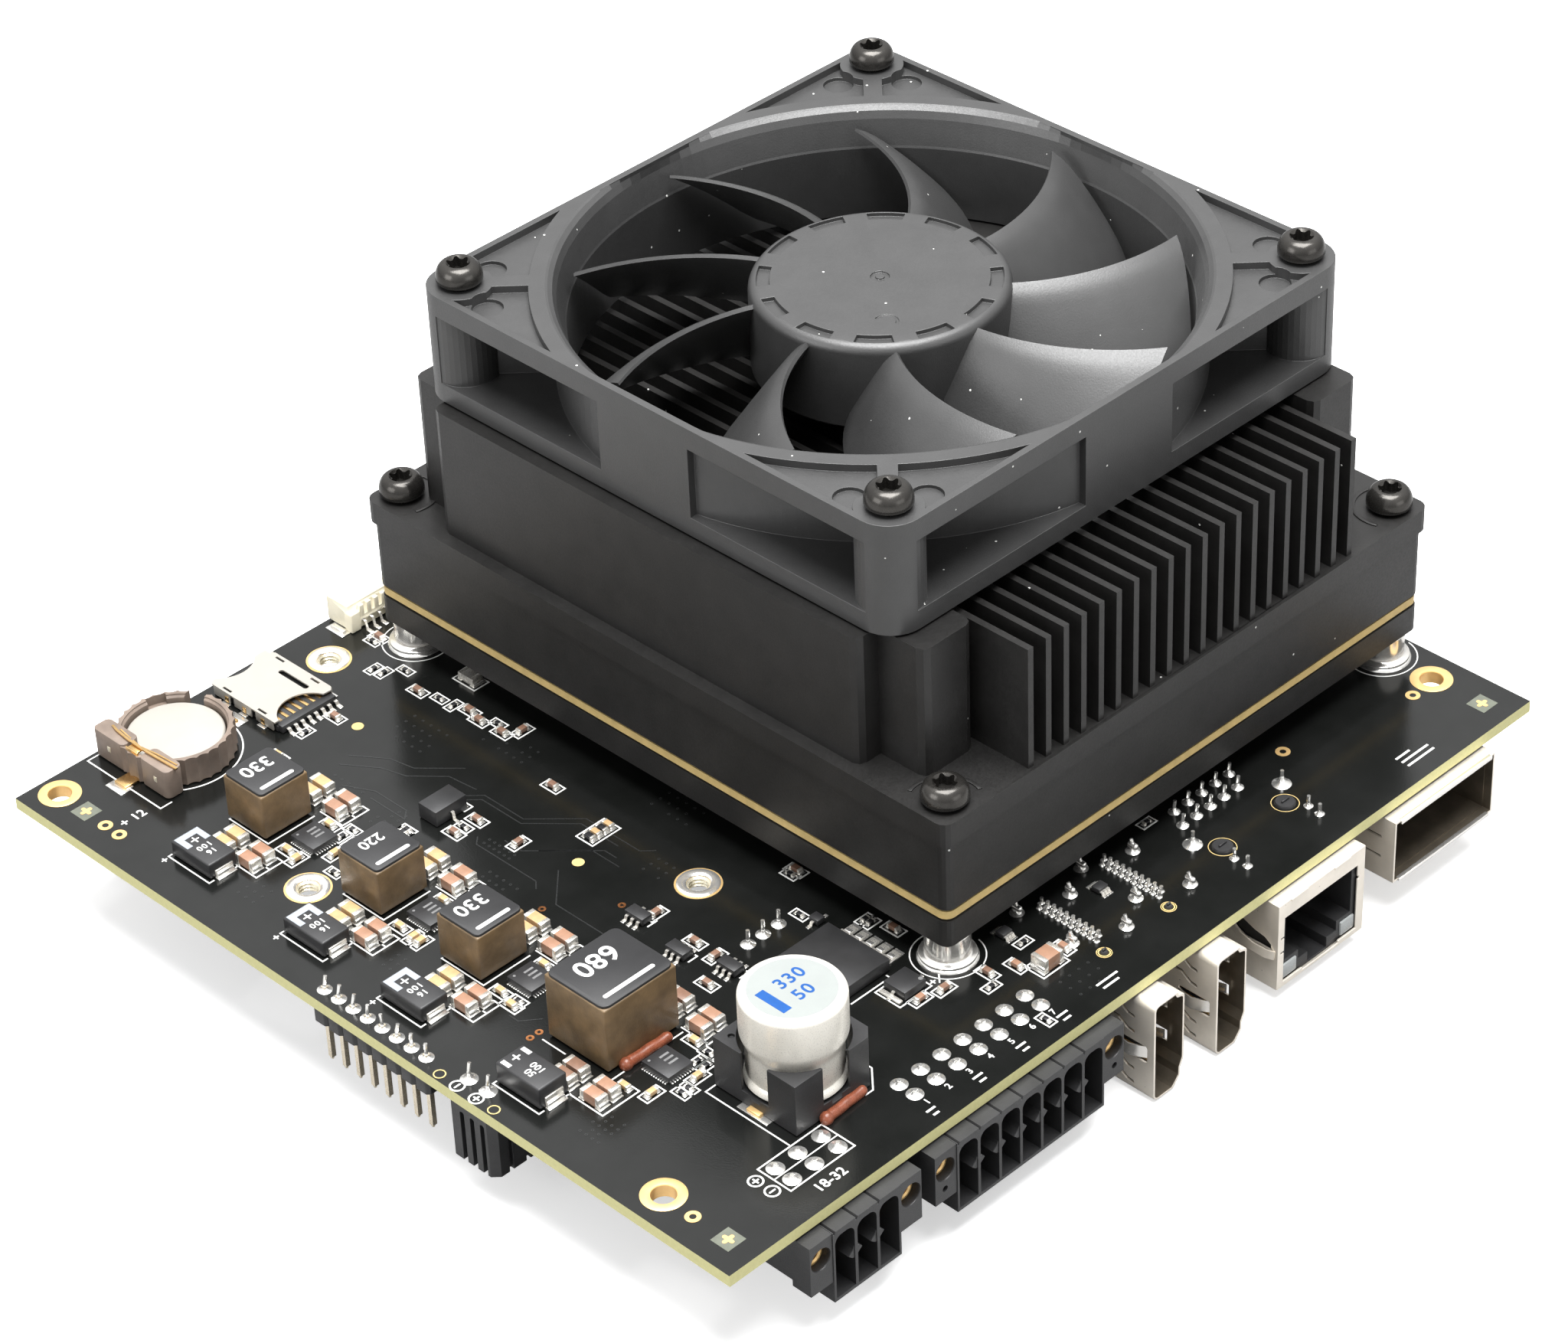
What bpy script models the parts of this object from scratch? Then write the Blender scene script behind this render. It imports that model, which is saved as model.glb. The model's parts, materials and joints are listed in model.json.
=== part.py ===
"""Single board computer: a carrier board with a stacked compute module, finned heatsink and fan.

The origin is the front left corner of the carrier board, on its top copper face. +X runs along the
connector edge, +Y goes to the back and +Z is up. Plugs go in from the front, towards +Y.
Sizes are in millimetres. The helpers turn them into metres.
"""

import math

import bmesh
import bpy

MM = 0.001
GAP = 0.3

BOARD_WIDTH = 140.0
BOARD_DEPTH = 125.0
BOARD_THICKNESS = 1.6
PAD_PROUD = 0.05
HOLE_RADIUS = 1.6
PAD_RADIUS = 2.65
MOUNTING_HOLES = ((4.2, 14.5), (4.3, 121.6), (135.4, 11.9), (135.4, 121.6))
INSERT_RADIUS = 2.35
INSERT_BORE = 1.5
INSERT_PLACES = ((12.9, 84.7), (45.1, 118.2), (45.0, 50.7))
UNDERSIDE = -BOARD_THICKNESS - GAP

MODULE_CENTRE = (95.2, 66.0)
MODULE_WIDTH = 86.2
MODULE_DEPTH = 98.8
MODULE_CORNER = 1.3
FLANGE_OVERHANG = 0.5
FLANGE_CORNER = 1.6
LOWER_FRAME_BOTTOM = 4.4
MODULE_BOARD_BOTTOM = 8.4
PLATE_BOTTOM = 9.8
SINK_BOTTOM = 19.5
FLANGE_TOP = 22.7
FIN_TOP = 39.5
BLOCK_TOP = 40.6
SCREW_SPACING = (79.8, 93.2)
SCREW_CENTRE = (95.3, 66.3)

FIN_COUNT = 20
FIN_PITCH = 3.01
FIN_THICKNESS = 0.9

FAN_CENTRE = (95.2, 67.2)
FAN_SIDE = 80.0
FAN_PITCH = 71.5
FAN_THICKNESS = 15.0
FAN_BOTTOM = BLOCK_TOP + GAP
FAN_TOP = FAN_BOTTOM + FAN_THICKNESS
FAN_CORNER = 4.5
DUCT_RADIUS = 38.4
DUCT_WALL = 1.3
HUB_RADIUS = 16.0
HUB_TOP = FAN_TOP - 1.0
HUB_BOTTOM = FAN_BOTTOM + 2.3
HUB_WALL = 1.4
BLADE_COUNT = 9
BLADE_TIP = 37.2
BLADE_TOP = FAN_TOP - 2.0
BLADE_DROP = 9.0
BLADE_SWEEP = 17.5
BLADE_SPAN = 26.0
BLADE_START = -8.8
BLADE_THICKNESS = 1.1
SHAFT_RADIUS = 1.5
TUBE_BORE = SHAFT_RADIUS + GAP
TUBE_RADIUS = 3.2

SHANK_RADIUS = 1.5
SHANK_HOLE = 1.9
SCREW_HEAD_RADIUS = 2.9
SCREW_HEAD_HEIGHT = 2.6
SOCKET_RADIUS = 1.25

TERMINAL_PITCH = 3.5
HDMI_LEFT_SIDES = (66.0, 77.1)

COLLECTION_NAME = "single_board_computer"
CUTTER_NAME = "cutters"


def clear_scene():
    for item in list(bpy.data.objects):
        bpy.data.objects.remove(item, do_unlink=True)
    for name in (COLLECTION_NAME, CUTTER_NAME):
        bpy.context.scene.collection.children.link(bpy.data.collections.new(name))


def make_material(name, colour, roughness, metallic=0.0):
    material = bpy.data.materials.new(name)
    material.use_nodes = True
    shader = material.node_tree.nodes["Principled BSDF"]
    shader.inputs["Base Color"].default_value = (*colour, 1.0)
    shader.inputs["Roughness"].default_value = roughness
    shader.inputs["Metallic"].default_value = metallic
    return material


def make_materials():
    return {
        "board": make_material("board", (0.012, 0.014, 0.014), 0.3),
        "anodised": make_material("anodised", (0.02, 0.02, 0.022), 0.42, 0.5),
        "fan_plastic": make_material("fan_plastic", (0.035, 0.036, 0.038), 0.55),
        "black_plastic": make_material("black_plastic", (0.018, 0.018, 0.02), 0.5),
        "bare_laminate": make_material("bare_laminate", (0.42, 0.3, 0.14), 0.45),
        "satin_steel": make_material("satin_steel", (0.66, 0.64, 0.6), 0.35, 0.9),
        "bright_steel": make_material("bright_steel", (0.78, 0.77, 0.74), 0.2, 1.0),
        "black_steel": make_material("black_steel", (0.03, 0.03, 0.032), 0.3, 0.8),
        "brass": make_material("brass", (0.75, 0.5, 0.2), 0.3, 1.0),
        "ferrite": make_material("ferrite", (0.2, 0.12, 0.06), 0.5),
        "holder_plastic": make_material("holder_plastic", (0.16, 0.12, 0.1), 0.5),
        "ivory_plastic": make_material("ivory_plastic", (0.85, 0.8, 0.62), 0.45),
        "copper": make_material("copper", (0.6, 0.25, 0.12), 0.35, 1.0),
        "cable_sleeve": make_material("cable_sleeve", (0.02, 0.02, 0.02), 0.7),
    }


def new_object(name, mesh, material=None):
    """Adds a part to the model, or a cutter when it has no material."""
    item = bpy.data.objects.new(name, mesh)
    if material is None:
        bpy.data.collections[CUTTER_NAME].objects.link(item)
        item.hide_render = True
        item.display_type = "WIRE"
    else:
        bpy.data.collections[COLLECTION_NAME].objects.link(item)
        mesh.materials.append(material)
    return item


def add_cuboid(shape, low, high):
    """Adds one cuboid to a bmesh and returns its corners."""
    corners = bmesh.ops.create_cube(shape, size=1.0)["verts"]
    for corner in corners:
        for axis in range(3):
            middle = (low[axis] + high[axis]) / 2
            corner.co[axis] = (middle + corner.co[axis] * (high[axis] - low[axis])) * MM
    return corners


def finish_mesh(shape, name):
    mesh = bpy.data.meshes.new(name)
    shape.to_mesh(mesh)
    shape.free()
    return mesh


def box(name, low, high, material=None, corner=0.0, segments=3, every_edge=False):
    """A block from its low corner to its high corner, with its upright edges, or all of them, rounded."""
    shape = bmesh.new()
    add_cuboid(shape, low, high)
    if corner:
        edges = [
            edge
            for edge in shape.edges
            if every_edge or abs(edge.verts[0].co.z - edge.verts[1].co.z) > MM / 100
        ]
        bmesh.ops.bevel(
            shape,
            geom=edges,
            offset=corner * MM,
            segments=segments,
            profile=0.5,
            affect="EDGES",
        )
    return new_object(name, finish_mesh(shape, name), material)


def box_row(name, low, high, step, count, rows=(0.0,)):
    """A cutter or a filler of equal blocks, repeated along X by step and along Z by each row's offset."""
    shape = bmesh.new()
    for rise in rows:
        for index in range(count):
            shift = index * step
            add_cuboid(
                shape,
                (low[0] + shift, low[1], low[2] + rise),
                (high[0] + shift, high[1], high[2] + rise),
            )
    return new_object(name, finish_mesh(shape, name))


def turned(name, centre, profile, material=None, steps=32, closed=False):
    """A turned shape about a vertical axis. The profile runs down its outer side."""
    mesh = bpy.data.meshes.new(name)
    points = [(radius * MM, 0.0, height * MM) for radius, height in profile]
    edges = [(index, index + 1) for index in range(len(points) - 1)]
    if closed:
        edges.append((len(points) - 1, 0))
    mesh.from_pydata(points, edges, [])
    item = new_object(name, mesh, material)
    item.location = (centre[0] * MM, centre[1] * MM, 0.0)
    screw = item.modifiers.new("turn", "SCREW")
    screw.steps = steps
    screw.render_steps = steps
    screw.use_merge_vertices = True
    screw.merge_threshold = 0.00001
    screw.use_smooth_shade = True
    return item


def rod(name, centre, radius, low, high, material=None, steps=24):
    profile = [(0.0, high), (radius, high), (radius, low), (0.0, low)]
    return turned(name, centre, profile, material, steps)


def ring(name, centre, inner, outer, low, high, material=None, steps=32):
    profile = [(inner, high), (outer, high), (outer, low), (inner, low)]
    return turned(name, centre, profile, material, steps, closed=True)


def turn_to_depth(item, depth, height):
    """Lays a turned shape down, so that its axis points along +Y from the given depth and height."""
    item.rotation_euler = (-math.pi / 2, 0.0, 0.0)
    item.location.y = depth * MM
    item.location.z = height * MM
    return item


def front_prism(name, outline, low, high, material=None):
    """An outline of (x, z) points, extruded along Y from low to high."""
    curve = bpy.data.curves.new(name, "CURVE")
    curve.dimensions = "2D"
    curve.fill_mode = "BOTH"
    curve.extrude = (high - low) / 2 * MM
    spline = curve.splines.new("POLY")
    spline.points.add(len(outline) - 1)
    spline.use_cyclic_u = True
    for point, (x, z) in zip(spline.points, outline):
        point.co = (x * MM, z * MM, 0.0, 1.0)
    item = bpy.data.objects.new(name + "_outline", curve)
    item.location.y = (low + high) / 2 * MM
    item.rotation_euler.x = math.pi / 2
    return curve_to_mesh(item, name, material)


def curve_to_mesh(item, name, material=None):
    """Replaces a curve object by a closed mesh object in the same place."""
    bpy.context.scene.collection.objects.link(item)
    graph = bpy.context.evaluated_depsgraph_get()
    mesh = bpy.data.meshes.new_from_object(item.evaluated_get(graph))
    shape = bmesh.new()
    shape.from_mesh(mesh)
    bmesh.ops.remove_doubles(shape, verts=shape.verts, dist=0.000001)
    bmesh.ops.recalc_face_normals(shape, faces=shape.faces)
    shape.to_mesh(mesh)
    shape.free()
    mesh.materials.clear()
    solid = new_object(name, mesh, material)
    solid.matrix_world = item.matrix_world
    bpy.data.objects.remove(item, do_unlink=True)
    return solid


def combine(target, operation, others):
    for other in others:
        modifier = target.modifiers.new(other.name, "BOOLEAN")
        modifier.operation = operation
        modifier.solver = "EXACT"
        modifier.object = other
    return target


def cut(target, *cutters):
    return combine(target, "DIFFERENCE", cutters)


def fuse(target, *fillers):
    return combine(target, "UNION", fillers)


def corners_of(centre, spacing):
    """Four places around a centre, front left, front right, back left and back right."""
    return [
        (centre[0] + side_x * spacing[0] / 2, centre[1] + side_y * spacing[1] / 2)
        for side_y in (-1, 1)
        for side_x in (-1, 1)
    ]


def module_box(name, bottom, top, material, inset=0.0):
    half_x = MODULE_WIDTH / 2 - inset
    half_y = MODULE_DEPTH / 2 - inset
    low = (MODULE_CENTRE[0] - half_x, MODULE_CENTRE[1] - half_y, bottom)
    high = (MODULE_CENTRE[0] + half_x, MODULE_CENTRE[1] + half_y, top)
    return box(name, low, high, material, MODULE_CORNER, 4)


def screw_hole_cutters(name, places, bottom, top, radius=SHANK_HOLE):
    return [
        rod(f"{name}_{index}", place, radius, bottom, top, steps=20)
        for index, place in enumerate(places)
    ]


def make_board(materials):
    low = (0.0, 0.0, -BOARD_THICKNESS)
    high = (BOARD_WIDTH, BOARD_DEPTH, 0.0)
    board = box("carrier_board", low, high, materials["board"])
    below = -BOARD_THICKNESS - 1.0
    bore = (HOLE_RADIUS + PAD_RADIUS) / 2
    cut(board, *screw_hole_cutters("mounting_bore", MOUNTING_HOLES, below, 1.0, bore))
    insert_hole = INSERT_RADIUS + GAP
    cut(board, *screw_hole_cutters("insert_bore", INSERT_PLACES, below, 1.0, insert_hole))
    for index, place in enumerate(MOUNTING_HOLES):
        pad_low = -BOARD_THICKNESS - PAD_PROUD
        pad = ring(f"pad_{index}", place, HOLE_RADIUS, PAD_RADIUS, pad_low, PAD_PROUD, steps=24)
        fuse(board, pad)
    for index, place in enumerate(INSERT_PLACES):
        name = f"threaded_insert_{index + 1}"
        ring(name, place, INSERT_BORE, INSERT_RADIUS, -BOARD_THICKNESS, 0.0, materials["brass"], 24)


def make_coin_cell(materials):
    centre = (19.7, 117.5)
    floor = 0.8
    rim_radius = 7.5
    well_radius = 6.6
    holder = rod("coin_cell_holder", centre, rim_radius, GAP, floor, materials["holder_plastic"], 40)
    rim = ring("holder_rim", centre, well_radius, rim_radius, GAP, 3.8, steps=40)
    clip_block = box("holder_clip_block", (12.7, 110.4, GAP), (15.0, 124.6, 4.2))
    well = rod("holder_well", centre, well_radius, floor, 6.0, steps=40)
    notch = box("holder_notch", (24.0, 119.5, floor), (30.0, 123.0, 6.0))
    strap_slot = box("holder_strap_slot", (11.0, 115.7, 0.0), (12.7, 118.6, 6.0))
    fuse(holder, rim, clip_block)
    cut(holder, well, notch, strap_slot)
    cell_profile = [(0.0, 3.1), (5.9, 3.1), (6.25, 2.8), (6.25, 1.6), (5.2, 1.1), (0.0, 1.1)]
    turned("coin_cell", centre, cell_profile, materials["satin_steel"], 40)
    contact = box("coin_cell_contact", (13.2, 109.9, 4.5), (15.2, 123.2, 4.75), materials["brass"])
    bridge = box("contact_bridge", (12.05, 116.0, 4.5), (14.0, 118.3, 4.75))
    strap = box("contact_strap", (12.05, 116.0, GAP), (12.3, 118.3, 4.6))
    foot = box("contact_foot", (9.2, 116.0, GAP), (12.2, 118.3, 0.55))
    fuse(contact, bridge, strap, foot)


def make_card_socket(materials):
    box("card_socket_base", (30.9, 111.2, GAP), (39.5, 123.8, 1.1), materials["black_plastic"])
    cover = box("card_socket_cover", (30.3, 111.0, GAP), (40.1, 124.0, 1.7), materials["satin_steel"])
    hollow = box("cover_hollow", (30.6, 110.0, 0.0), (39.8, 125.0, 1.4))
    front_scallop = rod("cover_front_scallop", (34.6, 109.4), 3.2, 1.2, 2.0)
    back_scallop = rod("cover_back_scallop", (34.6, 125.8), 3.4, 1.2, 2.0)
    slot = box("cover_slot", (37.6, 114.0, 1.2), (38.2, 119.5, 2.0))
    cut(cover, hollow, front_scallop, back_scallop, slot)


def make_four_pin_connector(materials):
    housing = box("four_pin_connector", (50.8, 119.9, GAP), (58.4, 124.9, 4.0), materials["ivory_plastic"])
    cut(housing, box("connector_mouth", (51.7, 121.6, 1.1), (57.5, 126.0, 3.3)))


def make_inductors(materials):
    body = materials["ferrite"]
    for index, (x, y) in enumerate(((15.3, 95.3), (15.1, 73.9), (15.0, 56.2))):
        low = (x, y, GAP)
        box(f"inductor_small_{index + 1}", low, (x + 7.4, y + 7.2, 6.9), body, 0.3, 2, True)
    box("inductor_large", (13.9, 33.5, GAP), (25.2, 43.5, 9.6), body, 0.4, 2, True)


def make_capacitors(materials):
    body = materials["black_plastic"]
    for index, (x, y) in enumerate(((5.9, 94.4), (5.5, 73.1), (5.4, 55.7))):
        high = (x + 4.2, y + 7.3, 2.3)
        box(f"polymer_cap_{index + 1}", (x, y, GAP), high, body, 0.2, 1, True)
    box("polymer_cap_large", (4.4, 34.6, GAP), (8.7, 41.9, 3.1), body, 0.25, 1, True)
    centre = (27.3, 16.8)
    half = 6.5
    can_radius = 6.25
    base_low = (centre[0] - half, centre[1] - half, GAP)
    base_high = (centre[0] + half, centre[1] + half, 7.3)
    base = box("electrolytic_base", base_low, base_high, body)
    lane = 3.6
    clear_x = box("base_lane_x", (10.0, centre[1] - lane, 1.2), (45.0, centre[1] + lane, 8.5))
    clear_y = box("base_lane_y", (centre[0] - lane, 0.0, 1.2), (centre[0] + lane, 35.0, 8.5))
    seat = rod("base_seat", centre, can_radius + GAP, 1.2, 8.5, steps=40)
    cut(base, clear_x, clear_y, seat)
    profile = [(0.0, 14.0), (5.4, 14.0), (6.05, 13.6), (can_radius, 12.9), (can_radius, 5.2)]
    profile += [(5.7, 4.6), (5.7, 4.2), (can_radius, 3.6), (can_radius, 2.0), (5.8, 1.5), (0.0, 1.5)]
    turned("electrolytic_can", centre, profile, materials["satin_steel"], 40)


def make_power_switch(materials):
    name = "power_switch_package"
    box(name, (39.3, 22.6, GAP), (48.7, 32.6, 1.9), materials["black_plastic"], 0.2, 1, True)


def make_edge_headers(materials):
    """The eight-pin header and the two-pin power socket, which hang from the left edge."""
    pitch = 2.54
    half_pin = 0.32
    middle_x = 1.9
    first_y = 51.1
    header_low = (middle_x - pitch / 2, first_y - pitch / 2, UNDERSIDE - pitch)
    header_high = (middle_x + pitch / 2, first_y + pitch * 7.5, UNDERSIDE)
    header = box("pin_header", header_low, header_high, materials["black_plastic"])
    pins = bmesh.new()
    for index in range(8):
        y = first_y + index * pitch
        low = (middle_x - half_pin, y - half_pin, -10.5)
        add_cuboid(pins, low, (middle_x + half_pin, y + half_pin, UNDERSIDE - 1.0))
    fuse(header, new_object("header_pins", finish_mesh(pins, "header_pins")))
    socket = box("power_socket", (1.1, 39.6, -11.4), (8.0, 46.5, UNDERSIDE), materials["black_plastic"])
    for index, y in enumerate((41.5, 44.5)):
        cut(socket, box(f"socket_mouth_{index}", (2.0, y - 1.2, -12.0), (4.6, y + 1.2, -4.0)))


def make_terminal_header(name, centre_x, ways, materials):
    """A pluggable terminal header: a two-row shroud between two flanges with a screw nut in each."""
    front = -2.1
    back = 9.6
    half_columns = (TERMINAL_PITCH * ways + 0.2) / 2
    nut_reach = half_columns + 1.8
    half_flange = half_columns + 3.5
    nut_height = -4.6
    low = (centre_x - half_columns, front, -12.2)
    header = box(name, low, (centre_x + half_columns, back, UNDERSIDE), materials["black_plastic"])
    flange_low = (centre_x - half_flange, front + 0.1, -9.1)
    fuse(header, box(name + "_flange", flange_low, (centre_x + half_flange, back - 0.1, UNDERSIDE - 0.05)))
    mouth = 2.9
    first = centre_x - TERMINAL_PITCH * (ways - 1) / 2 - mouth / 2
    pocket_low = (first, front - 1.0, -11.6)
    pocket_high = (first + mouth, 6.5, -7.4)
    cut(header, box_row(name + "_pockets", pocket_low, pocket_high, TERMINAL_PITCH, ways, (0.0, 4.7)))
    for side, word in ((-1, "left"), (1, "right")):
        place = (centre_x + side * nut_reach, 0.0)
        hole = rod(f"{name}_{word}_bore", place, 1.65, 0.0, 6.0, steps=20)
        cut(header, turn_to_depth(hole, front - 1.0, nut_height))
        nut = ring(f"{name}_nut_{word}", place, 0.9, 1.35, 0.0, 4.0, materials["brass"], 20)
        turn_to_depth(nut, front, nut_height)


def hdmi_outline(left, wall):
    """The upright shield's section, inset by the wall thickness. Its right side is chamfered."""
    top = -1.9 - wall
    bottom = -16.3 + wall
    right = left + 5.3 - wall
    near = left + wall
    slope = wall * 0.4
    return [
        (near, top),
        (right - 1.0 + slope, top),
        (right, top - 1.0 + slope),
        (right, bottom + 3.1 - slope),
        (right - 1.6 + slope, bottom),
        (near, bottom),
    ]


def make_hdmi(index, left, materials):
    name = f"hdmi_shield_{index}"
    shield = front_prism(name, hdmi_outline(left, 0.0), -3.0, 8.5, materials["satin_steel"])
    cut(shield, front_prism(name + "_hollow", hdmi_outline(left, 0.45), -4.0, 8.05))
    insert_low = (left + 0.8, 6.0, -15.2)
    insert_high = (left + 3.1, 7.7, -2.8)
    insert = box(f"hdmi_insert_{index}", insert_low, insert_high, materials["black_plastic"])
    fuse(insert, box(f"hdmi_tongue_{index}", (left + 1.9, -0.6, -14.4), (left + 2.9, 6.5, -3.4)))


def make_ethernet_jack(materials):
    shield = box("ethernet_jack_shield", (89.8, -1.7, -14.8), (105.9, 19.5, -1.9), materials["satin_steel"])
    hollow = box("jack_hollow", (90.15, -1.35, -14.45), (105.55, 19.15, -2.25))
    window = box("jack_window", (91.0, -3.0, -14.0), (104.6, 0.0, -4.2))
    cut(shield, hollow, window)
    plastic = materials["black_plastic"]
    insert = box("ethernet_jack_insert", (90.5, -1.0, -14.1), (105.2, 18.8, -2.6), plastic)
    plug_space = box("jack_plug_space", (91.9, -2.0, -12.0), (103.8, 12.0, -4.3))
    tab_space = box("jack_tab_space", (94.6, -2.0, -15.0), (101.0, 10.0, -11.5))
    cut(insert, plug_space, tab_space)


def make_transceiver_cage(materials):
    cage = box("transceiver_cage", (111.6, -1.7, -11.2), (131.0, 38.0, -2.0), materials["satin_steel"])
    cut(cage, box("cage_hollow", (111.95, -3.0, -10.85), (130.65, 37.65, -2.35)))
    plastic = materials["black_plastic"]
    socket = box("transceiver_socket", (112.4, 29.0, -10.4), (130.2, 37.2, -2.8), plastic)
    cut(socket, box("transceiver_card_slot", (113.6, 28.0, -7.4), (129.0, 35.0, -6.0)))


def make_module(materials):
    """The stack between the carrier board and the heatsink, held by four standoffs."""
    places = corners_of(SCREW_CENTRE, SCREW_SPACING)
    for index, place in enumerate(places):
        profile = [(SHANK_HOLE, 4.1), (2.9, 4.1), (2.9, 1.1), (3.9, 1.1), (3.9, GAP), (SHANK_HOLE, GAP)]
        name = f"module_standoff_{index + 1}"
        turned(name, place, profile, materials["bright_steel"], 28, closed=True)
    middle_x, middle_y = MODULE_CENTRE
    anodised = materials["anodised"]
    frame_top = MODULE_BOARD_BOTTOM - GAP
    frame = module_box("module_lower_frame", LOWER_FRAME_BOTTOM, frame_top, anodised)
    opening_low = (middle_x - 28.0, middle_y - 10.0, 0.0)
    opening = box("lower_frame_opening", opening_low, (middle_x + 28.0, middle_y + 10.0, 9.0))
    cut(frame, opening, *screw_hole_cutters("lower_frame_hole", places, 3.0, 10.0))
    connector_low = (middle_x - 26.0, middle_y - 8.0, GAP)
    connector_high = (middle_x + 26.0, middle_y + 8.0, MODULE_BOARD_BOTTOM - GAP)
    box("module_connector", connector_low, connector_high, materials["black_plastic"])
    laminate = materials["bare_laminate"]
    board = module_box("module_board", MODULE_BOARD_BOTTOM, PLATE_BOTTOM - GAP, laminate, 0.1)
    cut(board, *screw_hole_cutters("module_board_hole", places, 8.0, 10.5))
    half = 15.0
    package_low = (middle_x - half, middle_y - half, PLATE_BOTTOM)
    package_high = (middle_x + half, middle_y + half, PLATE_BOTTOM + 2.0)
    box("processor_package", package_low, package_high, materials["satin_steel"])
    plate = module_box("thermal_plate", PLATE_BOTTOM, SINK_BOTTOM - GAP, anodised)
    recess = half + 1.0
    recess_low = (middle_x - recess, middle_y - recess, 9.0)
    recess_high = (middle_x + recess, middle_y + recess, PLATE_BOTTOM + 2.0 + GAP)
    cut(plate, box("plate_recess", recess_low, recess_high))
    cut(plate, *screw_hole_cutters("plate_hole", places, 9.0, 20.5))


def make_heatsink(materials):
    middle_x, middle_y = MODULE_CENTRE
    half_x = MODULE_WIDTH / 2 + FLANGE_OVERHANG
    half_y = MODULE_DEPTH / 2 + FLANGE_OVERHANG
    low = (middle_x - half_x, middle_y - half_y, SINK_BOTTOM)
    high = (middle_x + half_x, middle_y + half_y, FLANGE_TOP)
    sink = box("heatsink", low, high, materials["anodised"], FLANGE_CORNER, 4)
    root = FLANGE_TOP - 0.4
    first = middle_x - FIN_PITCH * (FIN_COUNT - 1) / 2 - FIN_THICKNESS / 2
    fin_low = (first, low[1] + FLANGE_OVERHANG + 0.1, root)
    fin_high = (first + FIN_THICKNESS, high[1] - FLANGE_OVERHANG - 0.1, FIN_TOP)
    fuse(sink, box_row("fins", fin_low, fin_high, FIN_PITCH, FIN_COUNT))
    fan_x, fan_y = FAN_CENTRE
    inner = 30.1
    for side, word in ((-1, "left"), (1, "right")):
        for reach, half_length, part in ((41.8, 35.9, "wall"), (38.3, 43.1, "post")):
            near, far = sorted((fan_x + side * inner, fan_x + side * reach))
            block_low = (near, fan_y - half_length, root)
            block_high = (far, fan_y + half_length, BLOCK_TOP)
            fuse(sink, box(f"{word}_{part}", block_low, block_high, corner=1.2, segments=2))
    fan_places = corners_of(FAN_CENTRE, (FAN_PITCH, FAN_PITCH))
    cut(sink, *screw_hole_cutters("sink_post_hole", fan_places, FIN_TOP - 10.0, BLOCK_TOP + 1.0))
    base_places = corners_of(SCREW_CENTRE, SCREW_SPACING)
    cut(sink, *screw_hole_cutters("sink_flange_hole", base_places, 19.0, FLANGE_TOP + 1.0))


def make_button_screw(name, place, seat, shank_end, material):
    """A dome-headed screw with a six-sided socket, standing on a seat height."""
    base = seat + GAP
    top = base + SCREW_HEAD_HEIGHT
    profile = [(0.0, top), (1.7, top)]
    for step in (30, 60, 90):
        angle = math.radians(step)
        radius = 1.7 + (SCREW_HEAD_RADIUS - 1.7) * math.sin(angle)
        profile.append((radius, base + 0.6 + (SCREW_HEAD_HEIGHT - 0.6) * math.cos(angle)))
    profile += [(SCREW_HEAD_RADIUS - 0.3, base), (SHANK_RADIUS, base)]
    profile += [(SHANK_RADIUS, shank_end), (0.0, shank_end)]
    screw = turned(name, place, profile, material, 20)
    cut(screw, rod(name + "_socket", place, SOCKET_RADIUS, top - 1.2, top + 1.0, steps=6))


def make_screws(materials):
    steel = materials["black_steel"]
    for index, place in enumerate(corners_of(SCREW_CENTRE, SCREW_SPACING)):
        make_button_screw(f"heatsink_screw_{index + 1}", place, FLANGE_TOP, 1.0, steel)
    for index, place in enumerate(corners_of(FAN_CENTRE, (FAN_PITCH, FAN_PITCH))):
        make_button_screw(f"fan_screw_{index + 1}", place, FAN_TOP, FIN_TOP - 9.0, steel)


def fan_plate(name, bottom, top, material=None):
    half = FAN_SIDE / 2
    low = (FAN_CENTRE[0] - half, FAN_CENTRE[1] - half, bottom)
    high = (FAN_CENTRE[0] + half, FAN_CENTRE[1] + half, top)
    return box(name, low, high, material, FAN_CORNER, 4)


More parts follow.
